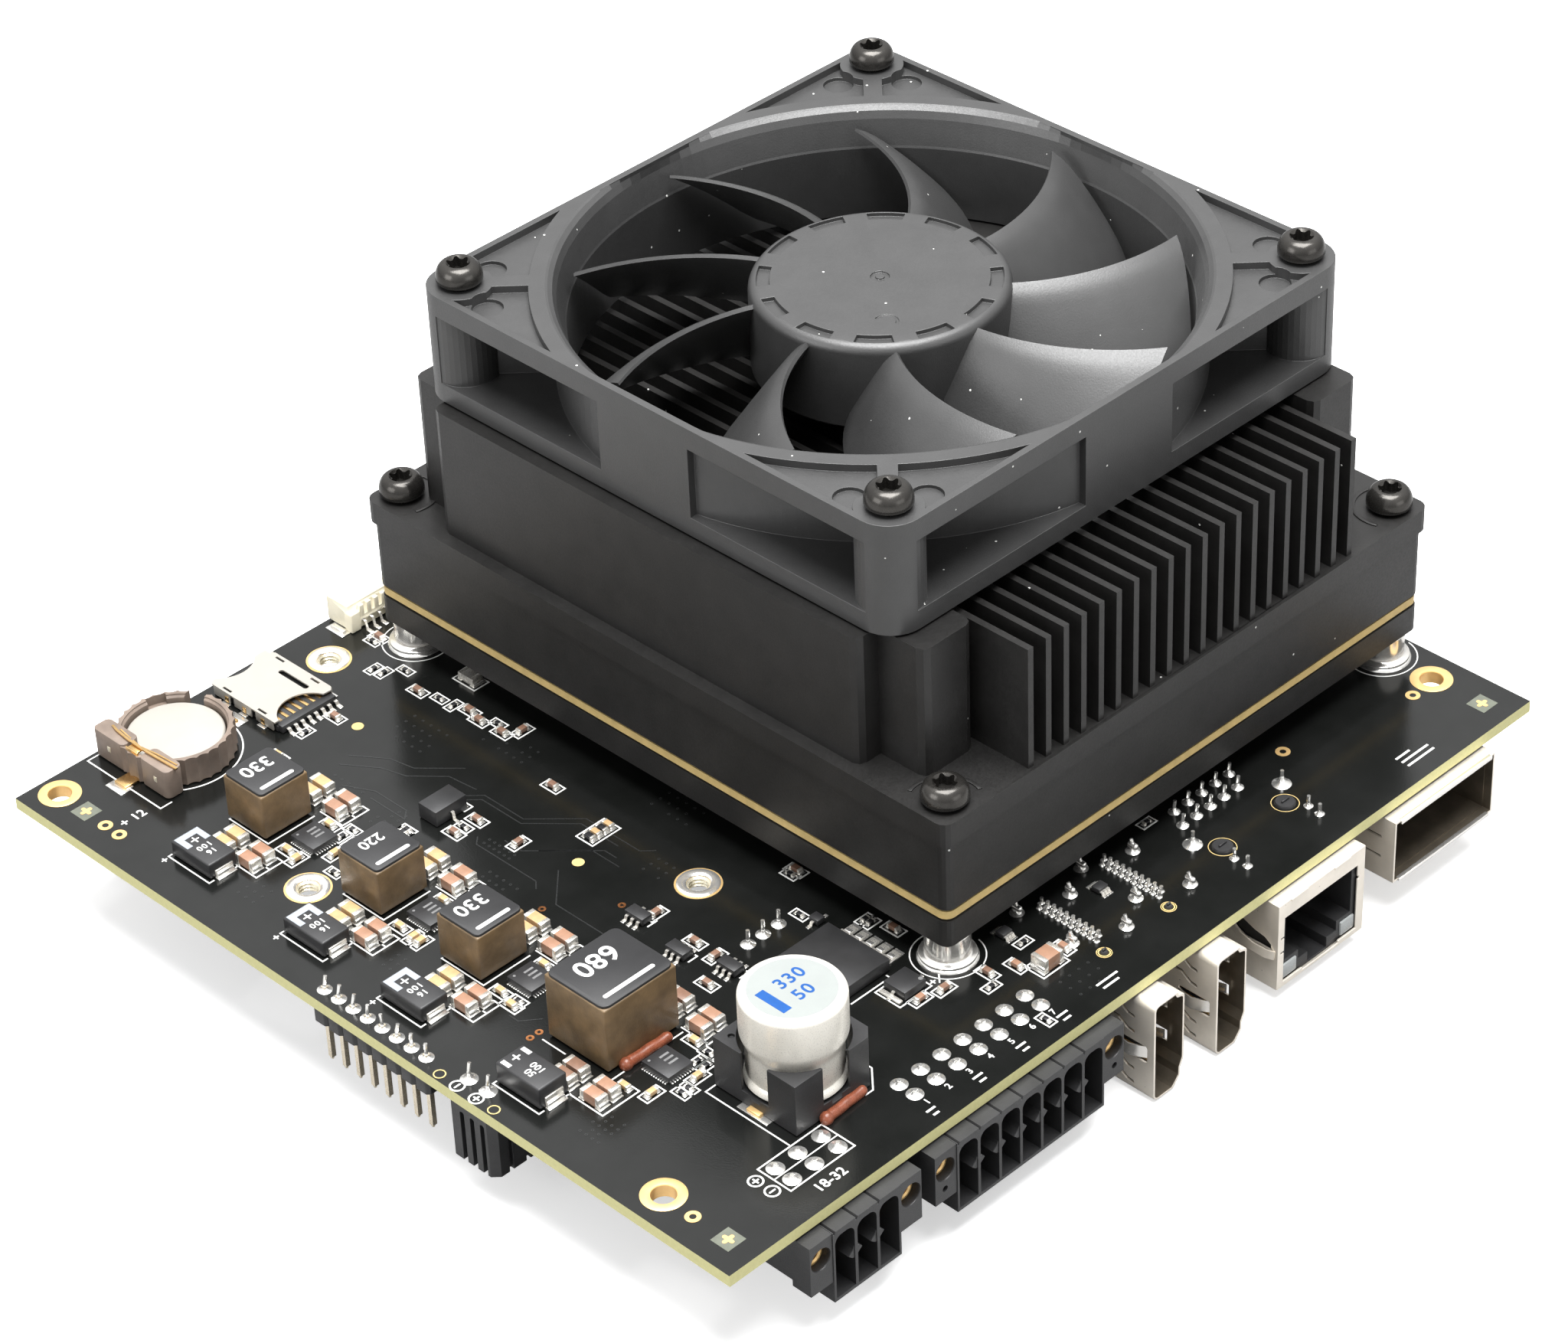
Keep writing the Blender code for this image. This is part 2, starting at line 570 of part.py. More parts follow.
def make_fan_frame(materials):
    """Two flanges joined by the round duct and four corner posts, with the motor base on four struts."""
    frame = fan_plate("fan_frame", FAN_TOP - 3.0, FAN_TOP, materials["fan_plastic"])
    fuse(frame, fan_plate("frame_lower_flange", FAN_BOTTOM, FAN_BOTTOM + 2.4))
    duct_outer = DUCT_RADIUS + DUCT_WALL
    low, high = FAN_BOTTOM + 0.02, FAN_TOP - 0.02
    fuse(frame, ring("frame_duct", FAN_CENTRE, 30.0, duct_outer, low, high, steps=56))
    half = FAN_SIDE / 2 - 0.02
    post = 8.6
    for index, (side_x, side_y) in enumerate(((-1, -1), (1, -1), (-1, 1), (1, 1))):
        x = FAN_CENTRE[0] + side_x * (half - post / 2)
        y = FAN_CENTRE[1] + side_y * (half - post / 2)
        low = (x - post / 2, y - post / 2, FAN_BOTTOM + 0.02)
        high = (x + post / 2, y + post / 2, FAN_TOP - 0.02)
        fuse(frame, box(f"frame_post_{index}", low, high, corner=FAN_CORNER - 0.2, segments=4))
    cut(frame, rod("frame_bore", FAN_CENTRE, DUCT_RADIUS, FAN_BOTTOM - 1.0, FAN_TOP + 1.0, steps=56))
    places = corners_of(FAN_CENTRE, (FAN_PITCH, FAN_PITCH))
    cut(frame, *screw_hole_cutters("frame_hole", places, FAN_BOTTOM - 1.0, FAN_TOP + 1.0, 2.15))
    base_top = FAN_BOTTOM + 1.5
    profile = [(TUBE_BORE, HUB_TOP - 3.0), (TUBE_RADIUS, HUB_TOP - 3.0), (TUBE_RADIUS, base_top)]
    profile += [(HUB_RADIUS, base_top), (HUB_RADIUS, FAN_BOTTOM), (TUBE_BORE, FAN_BOTTOM)]
    fuse(frame, turned("motor_base", FAN_CENTRE, profile, steps=40, closed=True))
    for index in range(4):
        strut = box(f"motor_strut_{index}", (15.0, -2.0, FAN_BOTTOM + 0.02), (39.0, 2.0, FAN_BOTTOM + 1.7))
        strut.location = (FAN_CENTRE[0] * MM, FAN_CENTRE[1] * MM, 0.0)
        strut.rotation_euler.z = math.radians(20.0 + 90.0 * index)
        fuse(frame, strut)
    notch_low = (FAN_CENTRE[0] + 14.0, FAN_CENTRE[1] + 37.2, FAN_TOP - 4.0)
    cut(frame, box("cable_notch", notch_low, (notch_low[0] + 7.0, notch_low[1] + 5.0, FAN_TOP + 1.0)))


def blade_point(blade, along, across):
    """A point of one blade: along runs from the hub to the tip, across from the upper to the lower edge."""
    radius = HUB_RADIUS - 0.6 + (BLADE_TIP - HUB_RADIUS + 0.6) * along
    angle = BLADE_START + 360.0 / BLADE_COUNT * blade + BLADE_SWEEP * along**1.3 - BLADE_SPAN * across
    height = BLADE_TOP - BLADE_DROP * across**1.15
    turn = math.radians(angle)
    return (radius * math.cos(turn) * MM, radius * math.sin(turn) * MM, height * MM)


def make_blades():
    """Nine curved sheets, given their thickness by Solidify."""
    spans = 5
    strips = 4
    shape = bmesh.new()
    for blade in range(BLADE_COUNT):
        rows = []
        for span in range(spans + 1):
            row = [blade_point(blade, span / spans, strip / strips) for strip in range(strips + 1)]
            rows.append([shape.verts.new(point) for point in row])
        for inner, outer in zip(rows, rows[1:]):
            for index in range(strips):
                shape.faces.new((inner[index], inner[index + 1], outer[index + 1], outer[index]))
    blades = new_object("blades", finish_mesh(shape, "blades"))
    blades.location = (FAN_CENTRE[0] * MM, FAN_CENTRE[1] * MM, 0.0)
    solidify = blades.modifiers.new("thickness", "SOLIDIFY")
    solidify.thickness = BLADE_THICKNESS * MM
    solidify.offset = 0.0
    return blades


def make_fan_motor(materials):
    """The rotor's hub and blades, the shaft that turns with it, and the fixed stator."""
    inner = HUB_RADIUS - HUB_WALL
    ceiling = HUB_TOP - 1.6
    profile = [(0.0, HUB_TOP), (HUB_RADIUS - 0.8, HUB_TOP), (HUB_RADIUS, HUB_TOP - 0.8)]
    profile += [(HUB_RADIUS, HUB_BOTTOM), (inner, HUB_BOTTOM), (inner, ceiling), (0.0, ceiling)]
    rotor = turned("fan_rotor", FAN_CENTRE, profile, materials["fan_plastic"], 48)
    fuse(rotor, make_blades())
    shaft_low = FAN_BOTTOM + 0.5
    rod("fan_shaft", FAN_CENTRE, SHAFT_RADIUS, shaft_low, ceiling - GAP, materials["bright_steel"])
    stator_low = FAN_BOTTOM + 2.2
    ring("fan_stator", FAN_CENTRE, TUBE_RADIUS + GAP, 12.6, stator_low, HUB_TOP - 3.4, materials["copper"])


def make_fan_cable(materials):
    """The fan's sleeved cable, from the notch in its frame straight down the back to the board."""
    path = [
        (114.0, 109.2, 50.0),
        (113.5, 113.5, 47.5),
        (111.0, 117.2, 42.0),
        (107.0, 118.4, 31.0),
        (102.0, 118.6, 18.0),
        (99.0, 118.8, 8.0),
        (98.2, 119.0, 3.0),
        (98.2, 119.0, GAP),
    ]
    curve = bpy.data.curves.new("fan_cable", "CURVE")
    curve.dimensions = "3D"
    curve.bevel_depth = 0.85 * MM
    curve.bevel_resolution = 2
    curve.use_fill_caps = True
    spline = curve.splines.new("POLY")
    spline.points.add(len(path) - 1)
    for point, place in zip(spline.points, path):
        point.co = (place[0] * MM, place[1] * MM, place[2] * MM, 1.0)
    item = bpy.data.objects.new("fan_cable_path", curve)
    curve_to_mesh(item, "fan_cable", materials["cable_sleeve"])


def main():
    clear_scene()
    materials = make_materials()
    make_board(materials)
    make_coin_cell(materials)
    make_card_socket(materials)
    make_four_pin_connector(materials)
    make_inductors(materials)
    make_capacitors(materials)
    make_power_switch(materials)
    make_edge_headers(materials)
    make_terminal_header("terminal_header_6", 19.05, 3, materials)
    make_terminal_header("terminal_header_14", 45.95, 7, materials)
    for index, left in enumerate(HDMI_LEFT_SIDES):
        make_hdmi(index + 1, left, materials)
    make_ethernet_jack(materials)
    make_transceiver_cage(materials)
    make_module(materials)
    make_heatsink(materials)
    make_fan_frame(materials)
    make_fan_motor(materials)
    make_screws(materials)
    make_fan_cable(materials)


main()
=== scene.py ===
"""The looks of the single board computer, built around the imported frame.

Sizes are in millimetres unless a name says otherwise, and MM turns them into metres. Places on the board
are measured from the frame's own boxes: the board's front left corner is the origin of the row frame.
"""

import json
import math
import random

import bmesh
import bpy
from mathutils import Matrix, Vector


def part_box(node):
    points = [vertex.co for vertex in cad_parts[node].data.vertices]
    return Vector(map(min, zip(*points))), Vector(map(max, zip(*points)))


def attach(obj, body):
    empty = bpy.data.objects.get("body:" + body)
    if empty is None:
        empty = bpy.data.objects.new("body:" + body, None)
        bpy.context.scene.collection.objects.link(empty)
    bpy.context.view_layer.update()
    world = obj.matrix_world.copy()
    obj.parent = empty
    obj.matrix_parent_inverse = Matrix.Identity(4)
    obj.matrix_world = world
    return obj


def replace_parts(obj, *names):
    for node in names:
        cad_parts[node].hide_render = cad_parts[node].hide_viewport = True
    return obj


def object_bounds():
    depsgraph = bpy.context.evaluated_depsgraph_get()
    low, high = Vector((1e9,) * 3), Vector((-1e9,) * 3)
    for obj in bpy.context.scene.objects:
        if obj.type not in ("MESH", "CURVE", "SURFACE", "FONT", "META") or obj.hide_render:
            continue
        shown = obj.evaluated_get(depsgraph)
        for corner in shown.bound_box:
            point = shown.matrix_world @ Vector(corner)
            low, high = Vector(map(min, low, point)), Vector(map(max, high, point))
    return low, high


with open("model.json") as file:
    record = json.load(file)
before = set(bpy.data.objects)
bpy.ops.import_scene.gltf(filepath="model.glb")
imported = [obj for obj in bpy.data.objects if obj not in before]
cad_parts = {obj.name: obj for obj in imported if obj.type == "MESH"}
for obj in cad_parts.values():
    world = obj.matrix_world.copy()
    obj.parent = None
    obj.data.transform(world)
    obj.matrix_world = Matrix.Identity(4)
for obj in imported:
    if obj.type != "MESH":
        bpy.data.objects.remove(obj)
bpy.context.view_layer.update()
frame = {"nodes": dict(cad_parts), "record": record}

MM = 0.001
BOARD_THICKNESS = 1.6
PIN_PITCH = 2.54
WAY = 3.5
BODY = "body"
ROTOR = "rotor"

# ---------------------------------------------------------------- frame measures

def box_mm(node):
    """Lowest and highest corner of a CAD node, in millimetres."""
    low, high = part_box(node)
    return low / MM, high / MM

def middle_mm(node):
    """The middle of a CAD node's box."""
    low, high = box_mm(node)
    return (low + high) / 2

def foot_mm(node):
    """The middle of a CAD node as seen from above, at the level of the board's top face."""
    low, high = box_mm(node)
    return ((low.x + high.x) / 2, (low.y + high.y) / 2, 0.0)

# ---------------------------------------------------------------- materials

NOISE_ROUGHNESS = 0.6
SPECK_SIZE = 1.6
SPECK_REACH = 0.09
SPECK_COLOUR = (0.75, 0.75, 0.72)
ROUGHNESS_SWING = 0.08

class Nodes:
    """A short way to build one material's node tree around its Principled BSDF."""

    def __init__(self, name):
        self.material = bpy.data.materials.new(name)
        self.material.use_nodes = True
        self.tree = self.material.node_tree
        self.shader = self.tree.nodes["Principled BSDF"]
        self.place = self.add("ShaderNodeTexCoord").outputs["Object"]

    def add(self, kind, **values):
        node = self.tree.nodes.new(kind)
        for key, value in values.items():
            if key in node.inputs:
                self.feed(node.inputs[key], value)
            else:
                setattr(node, key, value)
        return node

    def feed(self, socket, value):
        if isinstance(value, bpy.types.NodeSocket):
            self.tree.links.new(value, socket)
        else:
            socket.default_value = value

    def set(self, **values):
        for key, value in values.items():
            self.feed(self.shader.inputs[key.replace("_", " ")], value)

    def noise(self, size_mm, detail=3.0):
        node = self.add("ShaderNodeTexNoise", Vector=self.place, Scale=1 / (size_mm * MM))
        node.inputs["Detail"].default_value = detail
        node.inputs["Roughness"].default_value = NOISE_ROUGHNESS
        return node.outputs["Fac"]

    def ramp(self, value, low, high, from_value=0.0, to_value=1.0):
        node = self.add("ShaderNodeMapRange", Value=value)
        node.inputs["From Min"].default_value = low
        node.inputs["From Max"].default_value = high
        node.inputs["To Min"].default_value = from_value
        node.inputs["To Max"].default_value = to_value
        return node.outputs["Result"]

    def mix(self, share, first, second):
        node = self.add("ShaderNodeMix", data_type="RGBA")
        self.feed(node.inputs["Factor"], share)
        self.feed(node.inputs[6], first if isinstance(first, bpy.types.NodeSocket) else (*first, 1.0))
        self.feed(node.inputs[7], second if isinstance(second, bpy.types.NodeSocket) else (*second, 1.0))
        return node.outputs[2]

    def math(self, operation, first, second=0.0):
        node = self.add("ShaderNodeMath", operation=operation)
        self.feed(node.inputs[0], first)
        self.feed(node.inputs[1], second)
        return node.outputs[0]

    def dust(self, size_mm, share):
        """Sparse bright specks: one where a Voronoi cell's random value is high and its centre is near."""
        cells = self.add("ShaderNodeTexVoronoi", Vector=self.place, Scale=1 / (size_mm * MM))
        near = self.math("LESS_THAN", cells.outputs["Distance"], SPECK_REACH)
        value = self.add("ShaderNodeSeparateColor", Color=cells.outputs["Color"]).outputs["Red"]
        return self.math("MULTIPLY", near, self.math("LESS_THAN", value, share))

    def bump(self, height, depth_mm):
        node = self.add("ShaderNodeBump", Height=height, Strength=1.0)
        node.inputs["Distance"].default_value = depth_mm * MM
        self.set(Normal=node.outputs["Normal"])

def shaded(
    name, colour, roughness, metallic=0.0, grain=0.15, patch=4.0, shift=0.25, pits=0.01, dust=0.0,
    **more,
):
    """A surface whose colour drifts in patches, with fine grain in its height and roughness."""
    nodes = Nodes(name)
    drift = nodes.noise(patch, 4.0)
    dark = tuple(channel * (1 - shift) for channel in colour)
    light = tuple(min(1.0, channel * (1 + shift)) for channel in colour)
    base = nodes.mix(nodes.ramp(drift, 0.3, 0.7), dark, light)
    if dust:
        base = nodes.mix(nodes.dust(SPECK_SIZE, dust), base, SPECK_COLOUR)
    fine = nodes.noise(grain, 2.0)
    nodes.set(Base_Color=base, Metallic=metallic)
    smoothest = max(0.02, roughness - ROUGHNESS_SWING)
    nodes.set(Roughness=nodes.ramp(fine, 0.2, 0.8, smoothest, roughness + ROUGHNESS_SWING))
    for key, value in more.items():
        nodes.set(**{key: value})
    if pits:
        nodes.bump(fine, pits)
    return nodes.material

def make_materials():
    """Every material of the object, by its plain name."""
    return {
        "fan_plastic": shaded(
            "moulded_charcoal", (0.036, 0.036, 0.036), 0.42, shift=0.1, grain=0.22, pits=0.015,
            dust=0.12, Specular_IOR_Level=0.8,
        ),
        "anodised": shaded(
            "black_anodised", (0.013, 0.0125, 0.012), 0.44, 0.1, grain=0.3, pits=0.008, dust=0.06
        ),
        "black_plastic": shaded("moulded_black", (0.022, 0.022, 0.023), 0.48, grain=0.2, pits=0.015),
        "bare_laminate": shaded("bare_laminate", (0.62, 0.46, 0.19), 0.5, patch=1.5, shift=0.12),
        "satin_steel": shaded(
            "nickel_sheet", (0.84, 0.78, 0.69), 0.34, 0.5, pits=0.0, grain=1.2, patch=3.0, shift=0.06
        ),
        "bright_steel": shaded(
            "bright_plate", (0.86, 0.84, 0.8), 0.2, 0.8, pits=0.0, grain=1.0, patch=2.0, shift=0.05
        ),
        "black_steel": shaded("black_oxide", (0.055, 0.052, 0.048), 0.24, 0.75, grain=0.3, pits=0.006),
        "brass": shaded("gold_plate", (0.86, 0.58, 0.25), 0.38, 0.6, patch=1.5, shift=0.08),
        "ferrite": shaded(
            "brown_powder_core", (0.15, 0.098, 0.048), 0.42, patch=3.0, shift=0.35, grain=0.25,
            pits=0.02,
        ),
        "holder_plastic": shaded("grey_brown_plastic", (0.2, 0.155, 0.125), 0.5, grain=0.25),
        "ivory_plastic": shaded("ivory_nylon", (0.95, 0.89, 0.7), 0.45, patch=2.0, shift=0.05),
        "copper": shaded("enamelled_copper", (0.6, 0.25, 0.1), 0.3, 1.0),
        "cable_sleeve": shaded("cable_sleeve", (0.02, 0.02, 0.02), 0.6, grain=0.4, pits=0.03),
        "board": make_board_material(),
        "light_pipe": shaded("light_pipe", (0.4, 0.42, 0.42), 0.25, patch=1.5, shift=0.08, pits=0.004),
        # A darker metal for the inside faces of the shields and the cage, and for the cage's inner guides:
        # painted shade.
        "painted_shade_metal": shaded(
            "painted_shade_metal", (0.2, 0.17, 0.13), 0.35, 0.7, patch=3.0, shift=0.2, pits=0.0
        ),
        "champagne": shaded("champagne_plate", (0.72, 0.64, 0.5), 0.3, 0.8, patch=1.0, shift=0.08),
        "mask": shaded("raised_mask", (0.02, 0.021, 0.021), 0.28, patch=2.0, shift=0.15, pits=0.004),
        "plate_black": shaded(
            "black_top_plate", (0.022, 0.022, 0.023), 0.5, patch=2.0, shift=0.1, grain=0.1, pits=0.006
        ),
        "cell_steel": shaded(
            "bead_blasted_steel", (0.42, 0.4, 0.36), 0.45, 0.2, patch=4.0, shift=0.03, grain=0.12
        ),
        "gold_strip": shaded("gold_flash", (0.75, 0.5, 0.22), 0.22, 1.0, patch=1.0, shift=0.12),
        "pearl_top": shaded(
            "pearl_cap", (0.3, 0.32, 0.31), 0.45, 0.0, patch=3.0, shift=0.03, pits=0.003
        ),
        "white_ink": shaded("white_ink", (0.8, 0.8, 0.78), 0.55, patch=0.8, shift=0.06, grain=0.1),
        "grey_ink": shaded("laser_mark", (0.16, 0.16, 0.16), 0.6, patch=0.5, shift=0.2),
        "blue_ink": shaded("blue_ink", (0.002, 0.07, 0.28), 0.45, patch=1.0, shift=0.1),
        "pale_blue_ink": shaded("pale_blue_ink", (0.34, 0.37, 0.41), 0.5, patch=1.0, shift=0.06),
        "tin": shaded(
            "plated_tin", (0.8, 0.77, 0.71), 0.3, 0.75, patch=0.6, shift=0.12, grain=0.12, pits=0.0
        ),
        "solder": shaded(
            "solder", (0.84, 0.83, 0.8), 0.2, 0.85, patch=0.7, shift=0.1, grain=0.25, pits=0.0
        ),
        "ceramic_tan": shaded("tan_ceramic", (0.52, 0.34, 0.17), 0.35, patch=0.9, shift=0.1),
        "ceramic_pink": shaded("pink_ceramic", (0.33, 0.185, 0.12), 0.35, patch=0.9, shift=0.1),
        "ceramic_brown": shaded("brown_ceramic", (0.22, 0.125, 0.085), 0.35, patch=0.9, shift=0.12),
        "resistor_black": shaded("resistor_glaze", (0.02, 0.02, 0.022), 0.25, patch=0.6, shift=0.2),
        "chip_black": shaded("moulded_package", (0.022, 0.022, 0.023), 0.42, grain=0.12, pits=0.01),
        "bare_board": shaded("bare_board", (0.13, 0.14, 0.11), 0.35, patch=1.0, shift=0.12),
        "cream_metal": shaded("waxed_thread", (0.75, 0.7, 0.55), 0.3, 0.6, patch=1.0, shift=0.1),
        "glue": shaded("red_glue", (0.24, 0.07, 0.035), 0.28, patch=0.8, shift=0.25),
        "pearl": shaded(
            "pearl_lacquer", (0.86, 0.83, 0.75), 0.3, 0.2, patch=3.0, shift=0.05, pits=0.004
        ),
    }

def make_board_material():
    """Near-black solder mask on the faces, and the yellow-green laminate on the cut edges."""
    nodes = Nodes("solder_mask")
    normal = nodes.add("ShaderNodeNewGeometry").outputs["Normal"]
    rise = nodes.add("ShaderNodeSeparateXYZ", Vector=normal).outputs["Z"]
    is_edge = nodes.math("LESS_THAN", nodes.math("ABSOLUTE", rise), 0.5)
    drift = nodes.noise(9.0, 5.0)
    weave = nodes.noise(0.5, 2.0)
    mask = nodes.mix(nodes.ramp(drift, 0.35, 0.7), (0.005, 0.0055, 0.005), (0.009, 0.0095, 0.009))
    laminate = nodes.mix(weave, (0.6, 0.57, 0.26), (0.75, 0.72, 0.37))
    nodes.set(Base_Color=nodes.mix(is_edge, mask, laminate))
    nodes.set(Roughness=nodes.ramp(is_edge, 0.0, 1.0, 0.17, 0.6))
    nodes.bump(nodes.math("ADD", nodes.noise(0.25, 2.0), drift), 0.006)
    return nodes.material

MATERIALS = make_materials()

# ---------------------------------------------------------------- mesh builder

def new_object(name, data):
    """A new object, in the scene."""
    made = bpy.data.objects.new(name, data)
    bpy.context.scene.collection.objects.link(made)
    return made

def evaluated_mesh(piece):
    """A new mesh of a piece as its modifiers, or its font, make it."""
    bpy.context.view_layer.update()
    graph = bpy.context.evaluated_depsgraph_get()
    return bpy.data.meshes.new_from_object(piece.evaluated_get(graph))

def join_rings(part, rings):
    """Closes a body made of rings of points, each joined to the next."""
    for first, second in zip(rings, rings[1:]):
        for index in range(len(first)):
            after = (index + 1) % len(first)
            part.faces.new((first[index], first[after], second[after], second[index]))
    part.faces.new(rings[0])
    part.faces.new(rings[-1])
    bmesh.ops.recalc_face_normals(part, faces=part.faces)

SHARP_EDGE = 0.5

class Solid:
    """Collects simple closed shapes in one mesh given in millimetres.

    A shape with no material of its own takes the one that the Solid was made with.
    """

    def __init__(self, material=None):
        self.shape = bmesh.new()
        self.material = material
        self.materials = []

    def take(self, part, material=None, bevel=0.0, segments=2):
        """Rounds a part's sharp edges, gives it a material and adds it to the mesh."""
        if bevel:
            edges = [e for e in part.edges if e.is_manifold and e.calc_face_angle(0.0) > SHARP_EDGE]
            bmesh.ops.bevel(
                part, geom=edges, offset=bevel, segments=segments, profile=0.5, affect="EDGES",
                clamp_overlap=True,
            )
        material = material or self.material
        if material not in self.materials:
            self.materials.append(material)
        for face in part.faces:
            face.material_index = self.materials.index(material)
        mesh = bpy.data.meshes.new("part")
        part.to_mesh(mesh)
        part.free()
        self.shape.from_mesh(mesh)
        bpy.data.meshes.remove(mesh)
        return self

    def box(self, low, high, material=None, bevel=0.0, segments=2):
        part = bmesh.new()
        for corner in bmesh.ops.create_cube(part, size=1.0)["verts"]:
            for axis in range(3):
                span = high[axis] - low[axis]
                corner.co[axis] = (low[axis] + high[axis]) / 2 + corner.co[axis] * span
        return self.take(part, material, bevel, segments)

    def prism(self, outline, low, high, material=None, bevel=0.0, segments=2, plane="XY"):
        """A flat outline made solid between two levels of the axis that its plane leaves out."""
        part = bmesh.new()
        order = {"XY": (0, 1, 2), "XZ": (0, 2, 1), "YZ": (1, 2, 0)}[plane]

        def corner(point, level):
            place = [0.0, 0.0, 0.0]
            for axis, value in zip(order, (*point, level)):
                place[axis] = value
            return part.verts.new(place)

        lower = [corner(point, low) for point in outline]
        upper = [corner(point, high) for point in outline]
        part.faces.new(lower)
        part.faces.new(upper)
        for index in range(len(outline)):
            after = (index + 1) % len(outline)
            part.faces.new((lower[index], lower[after], upper[after], upper[index]))
        bmesh.ops.recalc_face_normals(part, faces=part.faces)
        return self.take(part, material, bevel, segments)

    def lathe(self, centre, profile, material=None, steps=32, axis="Z"):
        """A turned shape. Its profile runs from the axis, down the outer side and back, or is a loop."""
        part = bmesh.new()
        ring = [part.verts.new((radius, 0.0, height)) for radius, height in profile]
        edges = [part.edges.new(pair) for pair in zip(ring, ring[1:])]
        if profile[0][0] > 0:
            edges.append(part.edges.new((ring[-1], ring[0])))
        bmesh.ops.spin(
            part, geom=ring + edges, angle=math.tau, steps=steps, axis=(0, 0, 1), cent=(0, 0, 0),
        )
        bmesh.ops.remove_doubles(part, verts=part.verts, dist=0.0005)
        bmesh.ops.recalc_face_normals(part, faces=part.faces)
        turn = {"Z": Matrix.Identity(3), "Y": Matrix.Rotation(-math.pi / 2, 3, "X"),
                "X": Matrix.Rotation(math.pi / 2, 3, "Y")}[axis]
        for vert in part.verts:
            vert.co = turn @ vert.co + Vector(centre)
        return self.take(part, material)

    def disc(self, centre, radius, low, high, material=None, steps=32, axis="Z"):
        """A plain round pin, disc or bore between two levels along its axis."""
        profile = [(0, high), (radius, high), (radius, low), (0, low)]
        return self.lathe(centre, profile, material, steps, axis)

    def tube(self, path, radius, material=None, sides=8, flat=None):
        """A round rod, or a flat strip of the given width and height, swept along a path of points."""
        part = bmesh.new()
        points = [Vector(point) for point in path]
        if flat:
            section = [(x * flat[0] / 2, y * flat[1] / 2) for x, y in ((-1, -1), (1, -1), (1, 1), (-1, 1))]
        else:
            section = [
                (radius * math.cos(math.tau * i / sides), radius * math.sin(math.tau * i / sides))
                for i in range(sides)
            ]
        rings = []
        for index, point in enumerate(points):
            before = points[max(index - 1, 0)]
            after = points[min(index + 1, len(points) - 1)]
            along = (after - before).normalized()
            side = along.cross(Vector((0, 0, 1)))
            if side.length < 0.01:
                side = Vector((1, 0, 0)) if flat is None else Vector((0, 1, 0)).cross(along)
            side.normalize()
            rise = side.cross(along)
            rings.append([part.verts.new(point + side * x + rise * y) for x, y in section])
        join_rings(part, rings)
        return self.take(part, material)

    def ribbon(self, path, width, low, high, material=None, closed=False):
        """A line of printed ink or copper of one width, with mitred corners."""
        points = [Vector((x, y)) for x, y in path]
        count = len(points)
        left, right = [], []
        for index, point in enumerate(points):
            before = points[index - 1] if closed or index else None
            after = points[(index + 1) % count] if closed or index < count - 1 else None
            into = (point - before).normalized() if before is not None else None
            out = (after - point).normalized() if after is not None else None
            into = into or out
            out = out or into
            bisector = (into + out).normalized()
            normal = Vector((-bisector.y, bisector.x))
            reach = width / 2 / max(0.3, normal.dot(Vector((-out.y, out.x))))
            left.append(point + normal * reach)
            right.append(point - normal * reach)
        if closed:
            for index in range(count):
                after = (index + 1) % count
                outline = (left[index], left[after], right[after], right[index])
                self.prism(outline, low, high, material)
            return self
        return self.prism(left + right[::-1], low, high, material)

    def mesh(self, name):
        """The collected shapes as one mesh, in metres."""
        for vert in self.shape.verts:
            vert.co *= MM
        mesh = bpy.data.meshes.new(name)
        self.shape.to_mesh(mesh)
        self.shape.free()
        for material in self.materials:
            mesh.materials.append(MATERIALS[material])
        return mesh

    def cutter(self):
        """Makes a plain helper object for a Boolean."""
        bmesh.ops.recalc_face_normals(self.shape, faces=self.shape.faces)
        return new_object("cutter", self.mesh("cutter"))

    def done(self, name, body=BODY, smooth=40.0):
        """Makes the object and lets it ride on a CAD body."""
        mesh = self.mesh(name)
        mesh.shade_smooth()
        mesh.set_sharp_from_angle(angle=math.radians(smooth))
        piece = new_object(name, mesh)
        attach(piece, body)
        return piece

def arc(centre, radius, start, end, steps):
    """Points along an arc, with its angles in degrees."""
    angles = [math.radians(start + (end - start) * i / steps) for i in range(steps + 1)]
    return [(centre[0] + radius * math.cos(a), centre[1] + radius * math.sin(a)) for a in angles]

def quarter_round(radius, edge, top, steps):
    """The rounded rim of a turned shape's profile, from its flat top to its side."""
    angles = [math.pi / 2 * step / steps for step in range(steps + 1)]
    return [(radius - edge + edge * math.sin(a), top - edge + edge * math.cos(a)) for a in angles]

def rounded_rectangle(low, high, radius, steps=5):
    """A rectangle's outline, with an arc at each corner."""
    outline = []
    for x, y, start in (
        (high[0] - radius, high[1] - radius, 0), (low[0] + radius, high[1] - radius, 90),
        (low[0] + radius, low[1] + radius, 180), (high[0] - radius, low[1] + radius, 270),
    ):
        outline += arc((x, y), radius, start, start + 90, steps)
    return outline

def subtract(piece, *solids, crossing=False):
    """Cuts shapes out of a piece for good. Crossing is for a piece or cutter whose own shapes overlap."""
    cutters = [solid.cutter() for solid in solids]
    for cutter in cutters:
        modifier = piece.modifiers.new("cut", "BOOLEAN")
        modifier.object = cutter
        modifier.operation = "DIFFERENCE"
        modifier.solver = "EXACT"
        modifier.use_self = crossing
        modifier.material_mode = "TRANSFER"
    bake(piece)
    for cutter in cutters:
        bpy.data.objects.remove(cutter, do_unlink=True)
    return piece

def bake(piece):
    """Replaces a piece's mesh by what its modifiers make of it."""
    mesh = evaluated_mesh(piece)
    piece.modifiers.clear()
    piece.data = mesh

